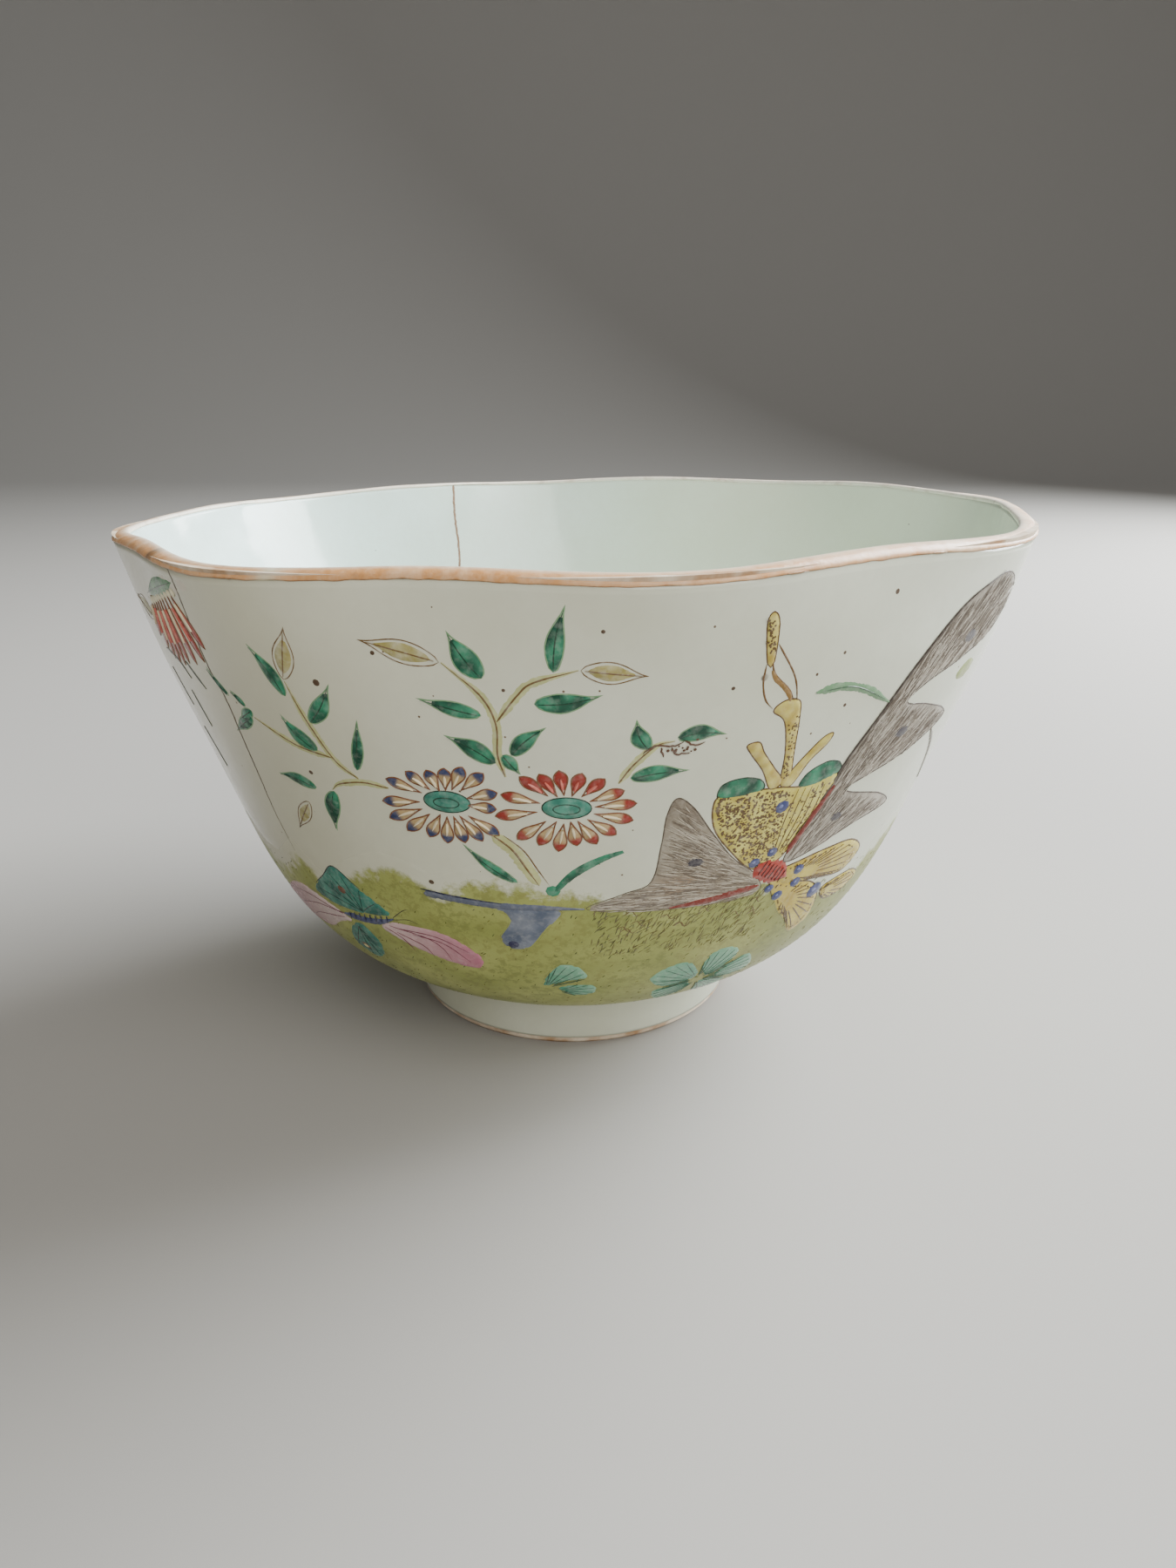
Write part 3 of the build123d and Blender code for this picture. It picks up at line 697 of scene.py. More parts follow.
def mottled(near, far, scale, seed):
    """Colour that drifts between two paints over the wall."""
    def colour(azimuth, rise, edge):
        share = np.clip(0.5 + 1.3 * clouds(azimuth * scale, rise * scale, seed), 0, 1)
        return blend(near, far, share[:, None])
    return colour


def edge_line(coat, outline, width, colour, height, base=SUNK):
    """Line along the points of an outline."""
    rim = np.concatenate([outline, outline[:1]])
    stroke(coat, rim, width, colour, height, base, (0.02, 0.02), smooth=False)


def closed_line(coat, points, width, colour):
    """Smooth line round a shape."""
    line = curve(points, closed=True, step=0.25)
    line = np.concatenate([line, line[:2]])
    stroke(coat, line, width, colour, 0.06, taper=(0.001, 0.001), smooth=False)


def pool(coat, shape, paint, height, width, line, step=0.5):
    """Pool of enamel with a brush line round it. Gives back its smooth outline."""
    outline = curve(shape, closed=True)
    patch(coat, outline, paint, height, step)
    closed_line(coat, shape, width, line)
    return outline


WASH_GREEN = ink(198, 200, 148)
FINE_BROWN = ink(128, 102, 66)
LEAF_VEIN = ink(24, 78, 56)
GREEN = ink(70, 148, 116)
DEEP_GREEN = ink(10, 80, 60)
OCHRE = ink(176, 166, 104)


def leaf(coat, base, tip, width, bend=0.0):
    """Green leaf with a dark vein and a paler edge."""
    width *= RANDOM.uniform(0.78, 1.0)
    outline, spine = lens(base, tip, width, fat=0.38, bend=bend, count=18, sharp=1.1)
    seed = RANDOM.uniform(0, 50)

    def colour(azimuth, rise, edge):
        share = 0.25 + 0.35 * share_along(base, tip, azimuth, rise) + 0.35 * np.exp(-edge / 0.18)
        share += 1.5 * clouds(azimuth * 0.7, rise * 0.7, seed)
        return blend(GREEN, DEEP_GREEN, np.clip(share, 0, 1)[:, None])

    patch(coat, outline, colour, height=0.13, step=0.4, soft=0.35)
    stroke(coat, spine[1:-1], 0.16, LEAF_VEIN, height=0.05, base=0.10, smooth=False)
    edge_line(coat, outline, 0.208, 0.7 * GREEN + 0.3 * WASH_GREEN, height=0.03, base=-0.01)


def dry_leaf(coat, base, tip, width):
    """Leaf that is only outlined, with a small pool of ochre in its middle."""
    outline, spine = lens(base, tip, width, count=18, sharp=0.9)
    middle = outline.mean(axis=0)
    paint = mottled(OCHRE, ink(196, 190, 146), 0.9, 21.0)
    patch(coat, middle + (outline - middle) * (0.80, 0.78), paint, height=0.09, step=0.4)
    edge_line(coat, outline, 0.15, FINE_BROWN, height=0.05)
    stroke(coat, spine[1:-1], 0.15, FINE_BROWN, height=0.05, base=0.07, smooth=False)


# ---------------------------------------------------------------- leaves and stems
GREEN_LEAVES = [
    ((-30.6, 58.4), (-33.5, 64.0), 1.8), ((-28.5, 55.5), (-24.6, 60.3), 2.0),
    ((-24.3, 50.2), (-22.4, 56.5), 1.6), ((-29.0, 52.0), (-32.5, 56.0), 2.2),
    ((-28.9, 46.8), (-31.0, 41.0), 2.4), ((-31.6, 46.8), (-37.7, 47.5), 2.0),
    ((-37.9, 54.7), (-43.1, 51.9), 1.8), ((-40.8, 56.8), (-43.4, 59.8), 1.1),
    ((-8.3, 61.8), (-11.4, 66.3), 2.5), ((-1.5, 62.7), (-0.4, 69.2), 2.1), ((-3.4, 59.4), (3.1, 60.5), 2.2),
    ((-6.0, 53.6), (-2.3, 56.9), 2.1), ((-7.7, 52.6), (-12.9, 55.5), 2.3),
    ((-8.7, 57.9), (-15.2, 59.4), 1.8), ((8.0, 54.4), (6.5, 57.8), 2.1), ((10.8, 55.6), (16.0, 55.5), 2.2),
    ((6.4, 51.0), (12.7, 51.6), 2.2), ((-6.5, 37.0), (-12.9, 42.0), 1.6),
]
OCHRE_LEAVES = [
    ((-30.0, 60.4), (-28.0, 66.2), 2.4), ((-34.2, 44.3), (-38.9, 39.6), 1.8),
    ((-12.4, 63.2), (-20.3, 65.2), 2.3), ((1.0, 63.0), (7.2, 62.4), 2.2),
    ((-58.3, 63.0), (-66.0, 64.8), 2.6),
]
STEMS = [
    [(-20.8, 48.4), (-24.0, 48.7), (-27.5, 48.0), (-29.0, 47.0)],
    [(-24.5, 49.1), (-27.0, 51.2), (-29.0, 56.0), (-30.0, 60.2)],
    [(-27.3, 51.4), (-32.0, 52.3), (-37.4, 54.8)],
    [(-6.8, 51.0), (-7.4, 53.5), (-7.3, 57.0), (-8.6, 60.0), (-12.2, 63.2)],
    [(-7.2, 57.3), (-5.0, 60.2), (-3.4, 61.6), (0.8, 63.0)],
    [(5.2, 50.4), (6.6, 52.6), (8.8, 54.8), (10.6, 55.2)],
]


def paint_leaves():
    green = Coat("green_leaves")
    for base, tip, width in GREEN_LEAVES:
        leaf(green, base, tip, width, bend=RANDOM.uniform(-0.45, 0.45))
    leaf(green, (-6.9, 53.6), (-5.2, 51.4), 1.5)
    dot(green, -2.1, 36.0, 0.9, GREEN, 0.12)
    leaf(green, (-37.4, 55.6), (-40.6, 54.0), 1.5)
    leaf(green, (-38.2, 56.0), (-40.0, 57.6), 1.0)
    blade = [(-2.4, 35.8), (0.2, 38.9), (4.0, 41.0), (7.8, 41.8), (4.2, 40.1), (0.9, 38.0), (-1.7, 35.6)]
    patch(green, curve(blade, closed=True), mottled(GREEN, DEEP_GREEN, 0.6, 2.0), step=0.4)
    green.lay(make_enamel("green_enamel"))

    ochre = Coat("ochre_leaves")
    for base, tip, width in OCHRE_LEAVES:
        dry_leaf(ochre, base, tip, width)
    ochre.lay(make_enamel("ochre_enamel", grain=0.2))

    stems = Coat("flower_stems")
    for path in STEMS:
        stroke(stems, path, 1.15, WASH_GREEN, height=0.03, taper=(0.2, 0.4))
        stroke(stems, path, 0.2, FINE_BROWN, height=0.05, base=0.01, taper=(0.05, 0.3))
    stalk = [(-9.0, 43.5), (-6.8, 41.6), (-5.2, 39.0), (-3.8, 36.8)]
    stroke(stems, stalk, 1.7, WASH_GREEN, height=0.06, taper=(0.1, 0.1))
    stroke(stems, stalk, 0.25, FINE_BROWN, height=0.06, base=0.04)
    stroke(stems, [(a + 1.3, r) for a, r in stalk], 0.2, FINE_BROWN, height=0.05)
    stems.lay(make_enamel("stem_enamel", grain=0.15))


# ---------------------------------------------------------------- asters
BLUE_TIPS = [
    (-11.4, 51.9), (-9.2, 51.3), (-7.9, 49.0), (-8.2, 46.9), (-8.2, 43.5), (-10.3, 42.6), (-12.5, 42.2),
    (-14.8, 41.9), (-17.0, 42.5), (-19.8, 43.0), (-21.8, 44.4), (-22.1, 46.6), (-20.8, 49.6), (-18.1, 50.8),
    (-15.6, 51.2), (-13.5, 51.6),
]
RED_TIPS = [
    (-1.1, 52.0), (1.3, 51.7), (-3.2, 51.5), (-5.3, 51.1), (-7.5, 48.8), (-8.4, 46.0), (-6.1, 43.1),
    (-3.6, 42.4), (-1.3, 41.6), (0.9, 42.4), (3.2, 42.6), (5.4, 43.8), (7.2, 45.6), (7.4, 47.8),
    (5.9, 49.5), (3.7, 51.0),
]
SIDE_PETALS = [
    ((-55.6, 66.0), (-58.6, 60.6)), ((-54.4, 66.2), (-56.4, 59.4)), ((-53.2, 66.4), (-54.4, 58.6)),
    ((-52.0, 66.7), (-52.4, 58.4)), ((-50.8, 67.0), (-50.4, 58.6)), ((-49.6, 67.3), (-48.4, 59.2)),
    ((-48.3, 67.6), (-45.8, 59.6)), ((-47.0, 67.9), (-43.2, 60.4)), ((-45.8, 68.2), (-41.6, 62.2)),
]


def petal(coat, base, tip, width, tip_paint, full, body):
    """Long petal: brown line, pale body, dark loaded tip and a raised cream ridge."""
    outline, spine = lens(base, tip, width, fat=0.68)

    def colour(azimuth, rise, edge):
        load = (share_along(base, tip, azimuth, rise) - 0.64 + 0.5 * full) / 0.10
        return blend(body, tip_paint, np.clip(load, 0, 1)[:, None])

    patch(coat, outline, colour, height=0.10, step=0.35, soft=0.3)
    edge_line(coat, outline, 0.17, ink(134, 88, 56), height=0.07, base=0.0)
    ridge = ink(228, 216, 184) if full < 0.5 else ink(210, 124, 110)
    stroke(coat, spine[3:-4], width * 0.24, ridge, height=0.2, base=0.06, smooth=False, taper=(0.3, 0.3))


def paint_aster(name, centre, tips, tip_paint, pink=()):
    """Flower seen from the front; the petals listed as pink are loaded with colour all over."""
    petals = Coat(name + "_petals")
    for i, tip in enumerate(tips):
        away = np.array(tip) - centre
        base = centre + away * (0.34 if abs(away[0]) < 4 else 0.40)
        full, body = (1.0, ink(190, 104, 88)) if i in pink else (0.0, ink(190, 166, 124))
        petal(petals, base, tip, 1.32, tip_paint, full, body)
    petals.lay(make_enamel(name + "_petals"))
    eye = Coat(name + "_eye")
    turn = np.arange(28) * 2 * math.pi / 28
    circle = np.stack([np.cos(turn), np.sin(turn)], -1)
    rim = centre + circle * (2.75, 1.35)
    patch(eye, rim, mottled(ink(100, 164, 144), ink(58, 128, 112), 0.8, 4.0), height=0.2, step=0.4, soft=0.6)
    closed_line(eye, rim[::2], 0.16, ink(34, 70, 56))
    inner = centre + circle * (1.5, 0.62)
    stroke(eye, np.concatenate([inner, inner[:2]]), 0.16, ink(28, 84, 66), height=0.06, base=0.17,
           smooth=False, taper=(0.01, 0.01))
    eye.lay(make_enamel(name + "_eye"))


def paint_side_aster():
    petals = Coat("side_aster_petals")
    for i, (base, tip) in enumerate(SIDE_PETALS):
        body = ink(196, 92, 72) if i < 4 else ink(206, 120, 104)
        petal(petals, base, tip, 1.35, ink(168, 62, 48), 1.0 if i % 2 else 0.3, body)
    petals.lay(make_enamel("side_aster"))
    cap = Coat("side_aster_cap")
    outline, spine = lens((-56.3, 66.2), (-43.6, 69.4), 2.4, fat=0.5)
    patch(cap, outline, mottled(ink(110, 160, 110), ink(70, 128, 84), 0.5, 9.0), height=0.16)
    for share in np.linspace(0.05, 0.95, 9):
        dot(cap, -56.0 + 12.2 * share, 65.3 + 3.0 * share, 0.55, ink(230, 222, 190), 0.16, base=0.05)
    stroke(cap, spine, 0.18, ink(50, 84, 56), height=0.05, base=0.14, smooth=False)
    cap.lay(make_enamel("side_cap"))


# ---------------------------------------------------------------- moth and twig
TEAL_VEIN = ink(34, 74, 64)
PINK_LINE = ink(126, 66, 84)
FEELERS = [[(-26.8, 28.9), (-24.4, 30.6), (-23.2, 31.0)], [(-26.8, 28.6), (-24.0, 29.2), (-22.4, 28.8)]]
TEAL_WINGS = [
    [(-42.8, 29.4), (-38.4, 32.8), (-35.2, 34.9), (-32.0, 33.0), (-26.9, 29.6), (-31.0, 28.4), (-38.0, 28.0)],
    [(-34.6, 26.2), (-32.3, 23.2), (-34.0, 19.8), (-37.2, 18.3), (-40.4, 20.4), (-38.6, 24.0)],
]
# Each pink wing's outline, and how far round the bowl its blush is deepest.
PINK_WINGS = [
    ([(-27.4, 28.2), (-20.0, 28.3), (-15.6, 26.6), (-13.2, 24.2), (-14.6, 22.0), (-21.0, 23.0),
      (-29.6, 26.2)],
     -14.0),
    ([(-36.6, 26.2), (-44.5, 28.8), (-51.0, 28.2), (-60.0, 23.6), (-58.0, 20.6), (-47.0, 21.4),
      (-40.5, 24.4)],
     -59.0),
]
PINK_VEINS = [
    [(-28.0, 27.5), (-22.0, 26.8), (-19.5, 25.3), (-18.6, 23.0)],
    [(-29.0, 27.0), (-26.5, 25.8), (-25.0, 23.8)], [(-26.0, 27.4), (-20.0, 27.2), (-15.0, 25.2)],
    [(-24.0, 26.9), (-19.0, 26.2), (-15.4, 23.4)], [(-27.0, 26.6), (-23.0, 25.2), (-21.6, 23.4)],
    [(-37.0, 27.0), (-44.0, 26.6), (-50.0, 25.0), (-57.0, 22.6)],
    [(-38.0, 26.2), (-46.0, 24.4), (-52.0, 22.0)], [(-38.0, 26.8), (-46.0, 27.6), (-54.0, 26.4)],
]
TWIG_DROP = [
    (-10.4, 33.0), (-8.6, 32.4), (-8.4, 30.8), (-9.9, 28.4), (-8.4, 26.6), (-5.4, 27.2), (-3.2, 30.0),
    (-1.0, 32.6), (-2.0, 33.4), (-6.0, 33.6),
]


def paint_moth():
    body = Coat("moth_body")
    stroke(body, [(-37.4, 27.0), (-33.0, 27.1), (-29.5, 27.7), (-26.6, 28.8)], 1.25, ink(84, 92, 126),
           height=0.2, taper=(0.2, 0.4))
    for share in np.linspace(0.1, 0.9, 8):
        azimuth = -37.0 + 10.0 * share
        stroke(body, [(azimuth, 26.5 + 1.6 * share), (azimuth + 0.3, 27.8 + 1.5 * share)], 0.2,
               ink(40, 46, 84), height=0.05, base=0.18)
    for feeler in FEELERS:
        stroke(body, feeler, 0.22, ink(60, 50, 44))
    body.lay(make_enamel("moth_body"))

    teal = Coat("moth_teal_wings")
    for shape in TEAL_WINGS:
        pool(teal, shape, mottled(ink(88, 154, 136), ink(44, 112, 100), 0.5, 3.0), 0.14, 0.2, ink(30, 62, 54))
    for tip in ((-41.0, 30.2), (-39.0, 31.8), (-36.6, 33.8), (-34.0, 33.8), (-31.4, 32.2), (-29.0, 30.8)):
        middle = ((tip[0] - 32.4) / 2, (tip[1] + 28.9) / 2)
        stroke(teal, [(-32.4, 28.7), middle, tip], 0.15, TEAL_VEIN, base=0.1)
    for tip in ((-33.4, 20.6), (-35.2, 19.4), (-37.4, 19.2), (-39.4, 20.8)):
        stroke(teal, [(-35.4, 25.4), tip], 0.15, TEAL_VEIN, base=0.1)
    dot(teal, -35.1, 31.5, 0.75, ink(122, 78, 48), 0.08, base=0.1)
    dot(teal, -37.4, 20.9, 0.8, ink(122, 78, 48), 0.08, base=0.1)
    dot(teal, -37.4, 20.9, 0.4, ink(210, 200, 150), 0.08, base=0.16)
    teal.lay(make_enamel("teal_enamel"))

    pink = Coat("moth_pink_wings")
    for shape, deepest in PINK_WINGS:
        def blush(azimuth, rise, edge, deepest=deepest):
            share = np.clip(1 - np.abs(azimuth - deepest) / 16.0, 0, 1)[:, None]
            return blend(ink(214, 194, 190), ink(190, 128, 144), share)
        pool(pink, shape, blush, 0.14, 0.2, PINK_LINE)
    for path in PINK_VEINS:
        stroke(pink, path, 0.18, PINK_LINE, height=0.05, base=0.11)
    pink.lay(make_enamel("pink_enamel"))


def paint_twig():
    twig = Coat("blue_twig")
    slate = mottled(ink(134, 140, 152), ink(98, 108, 126), 0.4, 6.0)
    pool(twig, TWIG_DROP, slate, 0.14, 0.18, ink(48, 52, 82))
    stroke(twig, [(-19.8, 34.2), (-15.0, 33.9), (-9.0, 33.5), (-3.0, 33.5), (2.0, 33.4)], 1.2,
           ink(106, 112, 128), height=0.16, taper=(0.02, 0.35))
    stroke(twig, [(-20.2, 34.8), (-15.0, 34.3), (-9.0, 33.9)], 0.2, ink(40, 44, 72), base=0.06)
    dot(twig, -8.0, 27.6, 0.7, ink(58, 60, 92), 0.1, base=0.1)
    twig.lay(make_enamel("twig_enamel"))


# ---------------------------------------------------------------- butterfly
GREY = ink(170, 162, 146)
DEEP_GREY = ink(128, 116, 100)
HORN_LINE = ink(120, 88, 44)
STIPPLE = ink(104, 80, 34)
LEFT_WING = [
    (2.4, 33.3), (7.0, 35.4), (10.4, 36.9), (11.0, 42.0), (11.1, 46.0), (12.0, 48.1), (14.2, 46.6),
    (17.2, 43.0), (21.0, 39.0), (25.4, 35.8), (26.2, 32.8), (13.0, 32.6),
]
RIGHT_WING = [
    (29.8, 36.8), (32.0, 43.0), (33.6, 48.6), (36.4, 53.8), (40.2, 60.0), (45.0, 65.5), (51.5, 68.2),
    (57.0, 66.0), (55.4, 61.8), (49.0, 59.2), (43.6, 57.4), (41.0, 55.4), (45.6, 54.4), (51.6, 52.7),
    (53.0, 51.0), (46.6, 48.4), (37.0, 46.0), (36.8, 45.0), (44.6, 43.0), (48.3, 40.8), (41.0, 39.6),
]
RIGHT_EDGE = [(30.4, 38.4), (33.4, 48.4), (36.6, 54.4), (40.4, 60.4), (45.2, 65.8), (51.0, 68.4)]
HEART = [
    (24.6, 36.8), (20.0, 40.4), (17.2, 43.8), (16.6, 47.4), (19.0, 48.0), (24.6, 47.8), (28.4, 47.4),
    (33.1, 48.2), (32.2, 44.8), (30.2, 41.0), (28.6, 37.6),
]
WING_LEAVES = [
    [(16.9, 47.4), (17.0, 49.2), (19.4, 49.8), (21.8, 49.2), (22.4, 47.9), (19.4, 47.2)],
    [(27.6, 47.4), (28.2, 49.0), (30.6, 50.0), (32.8, 49.6), (33.3, 48.2), (30.0, 47.2)],
]
HORNS = [
    [(23.4, 47.8), (21.6, 50.4), (19.6, 52.6), (18.8, 53.8), (20.2, 54.0), (21.2, 52.6), (23.0, 50.6),
     (24.8, 48.6)],
    [(24.8, 48.4), (26.2, 50.6), (28.6, 53.2), (30.0, 53.6), (29.6, 52.4), (27.8, 50.6), (26.2, 47.8)],
    [(24.6, 48.2), (23.9, 52.2), (22.6, 56.0), (20.9, 57.4), (22.0, 58.4), (23.8, 58.2), (24.4, 56.4),
     (25.1, 52.2), (25.8, 48.4)],
    [(18.9, 62.6), (18.0, 66.6), (18.5, 67.7), (19.3, 66.6), (19.6, 62.8)],
]
HORN_LINES = [
    [(19.3, 63.3), (20.0, 61.5), (22.2, 59.5), (23.2, 58.0)], [(19.7, 64.5), (22.5, 60.8), (23.6, 57.8)],
    [(18.6, 67.4), (18.4, 66.0), (19.2, 64.0)], [(18.8, 62.6), (18.9, 60.6), (19.6, 58.8), (20.7, 57.7)],
]
# Each lower wing's outline, and the place that its veins fan out from.
LOWER_WINGS = [
    [(28.6, 35.4), (32.0, 36.2), (37.0, 36.9), (43.0, 36.8), (47.2, 34.4), (44.6, 31.8), (37.0, 32.6),
     (31.0, 33.2)],
    [(28.4, 34.2), (31.6, 29.4), (34.6, 26.8), (38.6, 23.2), (41.8, 25.0), (40.6, 29.2), (37.4, 32.0),
     (32.0, 33.4)],
    [(41.2, 30.2), (48.0, 30.8), (52.0, 29.0), (49.0, 27.2), (43.4, 27.6)],
]
LOWER_ROOTS = [(32.0, 34.2), (32.4, 31.0), (41.0, 29.4)]
BARS = [([(13.4, 32.9), (20.0, 33.4), (26.4, 34.2)], 1.0), ([(33.4, 46.6), (31.2, 42.0), (29.4, 38.2)], 0.9)]
# (azimuth, rise, size) of the blue spots, and of the dark eyes on the grey wings.
BLUE_SPOTS = [
    (25.9, 45.2, 0.75), (24.5, 37.8, 0.6), (26.8, 38.9, 0.6), (33.0, 35.1, 0.6), (33.4, 33.1, 0.6),
    (30.7, 31.7, 0.6), (38.9, 30.4, 0.95), (28.6, 33.2, 0.5),
]
WING_EYES = [(15.8, 39.2, 0.7), (36.3, 41.8, 0.6), (42.4, 51.6, 0.75), (48.7, 61.8, 0.8)]


def hairs(coat, outline, root, count, length, colours):
    """Fine strokes that fan out from the wing's root, kept inside its outline."""
    scale = scale_at(outline[:, 1].mean())
    flat = outline * scale
    low, high = flat.min(0), flat.max(0)
    made = 0
    for _ in range(count * 8):
        if made >= count:
            return
        start = RANDOM.uniform(low, high)
        away = start - np.array(root) * scale
        heading = math.atan2(away[1], away[0]) + RANDOM.normal(0, 0.10)
        reach = length * RANDOM.uniform(0.5, 1.2)
        bend = RANDOM.normal(0, 0.10)
        share = np.linspace(0, 1, 5)
        turn = heading + bend * share
        path = start + np.stack([np.cos(turn), np.sin(turn)], -1) * (share * reach)[:, None]
        if within(path, flat).all():
            stroke(coat, path / scale, 0.10, colours[RANDOM.integers(len(colours))], height=0.035, base=0.11,
                   smooth=False, taper=(0.3, 0.5))
            made += 1


def paint_grey_wings():
    def shade_left(azimuth, rise, edge):
        dark = np.clip((rise - 42.0) / 6.0, 0, 1) * 0.7 + np.exp(-edge / 0.5) * 0.35
        dark = np.clip(dark + 0.5 * clouds(azimuth * 0.3, rise * 0.3, 8.0), 0, 1)
        rust = 0.6 * np.exp(-((azimuth - 15.3) / 3.5) ** 2 - ((rise - 36.0) / 1.6) ** 2)
        return blend(blend(GREY, DEEP_GREY, dark[:, None]), ink(170, 128, 84), rust[:, None])

    def shade_right(azimuth, rise, edge):
        dark = np.exp(-edge / 0.5) * 0.5 + np.clip((azimuth - 42.0) / 14.0, 0, 1) * 0.3
        dark = np.clip(dark + 0.55 * clouds(azimuth * 0.25, rise * 0.25, 12.0), 0, 1)
        return blend(ink(176, 170, 158), ink(126, 116, 104), dark[:, None])

    left = Coat("butterfly_left_wing")
    outline = curve(LEFT_WING, closed=True)
    patch(left, outline, shade_left, height=0.10)
    hairs(left, outline, (30.0, 34.0), 640, 3.0, (ink(116, 104, 90), ink(196, 188, 172), ink(146, 134, 118)))
    closed_line(left, LEFT_WING, 0.16, ink(96, 82, 66))
    left.lay(make_enamel("grey_left", rough=0.3))

    right = Coat("butterfly_right_wing")
    outline = curve(RIGHT_WING, closed=True)
    patch(right, outline, shade_right, height=0.10)
    hairs(right, outline, (28.0, 34.0), 1100, 2.8, (ink(108, 98, 88), ink(204, 198, 186), ink(140, 130, 118)))
    closed_line(right, RIGHT_WING, 0.18, ink(80, 66, 54))
    stroke(right, RIGHT_EDGE, 0.4, ink(70, 56, 46), base=0.05)
    right.lay(make_enamel("grey_right", rough=0.3))


def paint_heart_wing():
    heart = Coat("butterfly_heart_wing")
    outline = pool(heart, HEART, mottled(ink(214, 208, 122), ink(196, 182, 88), 0.5, 5.0), 0.16, 0.24,
                   ink(110, 84, 34))
    low, high = outline.min(0), outline.max(0)
    for _ in range(2600):
        place = RANDOM.uniform(low, high)
        busy = 0.75 if place[0] < 26.5 else 0.22
        edge = gaps_to(place[None] * (0.86, 1), outline * (0.86, 1))[0]
        if edge > 0.35 and RANDOM.uniform() < busy and within(place[None], outline)[0]:
            dot(heart, place[0], place[1], RANDOM.uniform(0.07, 0.17), STIPPLE, 0.03, base=0.145,
                stretch=RANDOM.uniform(1, 1.8), angle=RANDOM.uniform(0, 3.1))
    for azimuth in (27.2, 28.2, 29.2, 30.2, 31.2):
        vein = [(26.9 + (azimuth - 26.9) * 0.45, 38.8), (azimuth - 0.2, 43.0), (azimuth + 0.3, 47.2)]
        stroke(heart, vein, 0.16, STIPPLE, height=0.05, base=0.14)
    heart.lay(make_enamel("yellow_heart"))

    leaves = Coat("butterfly_wing_leaves")
    for shape in WING_LEAVES:
        pool(leaves, shape, mottled(GREEN, DEEP_GREEN, 0.7, 7.0), 0.13, 0.16, ink(26, 68, 46))
    leaves.lay(make_enamel("wing_leaves"))


def paint_horns():
    horns = Coat("butterfly_horns")
    for shape in HORNS:
        pool(horns, shape, mottled(ink(212, 202, 122), ink(184, 164, 82), 0.8, 15.0), 0.15, 0.17,
             ink(104, 74, 30), step=0.35)
    for path in HORN_LINES:
        stroke(horns, path, 0.2, HORN_LINE, base=0.0)
    curl = [(19.6, 61.9), (20.3, 60.9), (21.4, 60.0), (22.4, 58.9), (22.7, 57.6)]
    stroke(horns, curl, 0.6, ink(150, 118, 58), 0.1)
    for _ in range(90):
        share = RANDOM.uniform()
        azimuth, rise = 24.9 - share, 49.0 + 7.5 * share
        if RANDOM.uniform() < 0.4:
            azimuth, rise = 19.1 - 0.9 * share, 63.8 + 3.2 * share
        dot(horns, azimuth + RANDOM.normal(0, 0.25), rise, 0.12, STIPPLE, 0.03, base=0.135)
    horns.lay(make_enamel("yellow_horns"))


def paint_lower_wings():
    lower = Coat("butterfly_lower_wings")
    for shape, root in zip(LOWER_WINGS, np.array(LOWER_ROOTS)):
        outline = pool(lower, shape, mottled(ink(208, 194, 98), ink(184, 162, 70), 0.4, 13.0), 0.14, 0.28,
                       ink(96, 70, 30))
        centre = outline.mean(0)
        for aim in outline[::5] - root:
            if aim @ (centre - root) > 0:
                vein = [root + aim * 0.35, root + aim * 0.65, root + aim * 0.9]
                stroke(lower, vein, 0.2, STIPPLE, height=0.05, base=0.12)
        for _ in range(60):
            place = outline[RANDOM.integers(len(outline))] * 0.8 + centre * 0.2
            dot(lower, place[0], place[1], 0.14, STIPPLE, 0.03, base=0.125)
    lower.lay(make_enamel("yellow_lower"))


def paint_butterfly():
    paint_grey_wings()
    paint_heart_wing()
    paint_horns()
    paint_lower_wings()

    bars = Coat("butterfly_bars")
    for path, width in BARS:
        stroke(bars, path, width, ink(132, 58, 46), height=0.16, base=0.08, taper=(0.4, 0.1))
    bars.lay(make_enamel("bars"))

    body = Coat("butterfly_body")
    stroke(body, [(25.0, 37.3), (27.6, 36.0), (30.8, 34.6)], 3.3, ink(168, 62, 48),
           height=0.3, taper=(0.25, 0.25))
    for share in np.linspace(0.1, 0.9, 7):
        azimuth, rise = 25.6 + 4.8 * share, 37.1 - 2.3 * share
        band = [(azimuth - 0.5, rise - 0.9), (azimuth + 0.4, rise + 0.9)]
        stroke(body, band, 0.2, ink(98, 30, 26), base=0.26)
    body.lay(make_enamel("red_body"))

    spots = Coat("butterfly_spots")
    for azimuth, rise, size in BLUE_SPOTS:
        dot(spots, azimuth, rise, 1.25 * size, ink(64, 74, 124), 0.1, base=0.13)
        dot(spots, azimuth - 0.2, rise + 0.15, size * 0.35, ink(120, 130, 176), 0.05, base=0.21)
    for azimuth, rise, size in WING_EYES:
        dot(spots, azimuth, rise, size, ink(70, 64, 72), 0.06, base=0.12, stretch=1.5)
    spots.lay(make_enamel("spots"))


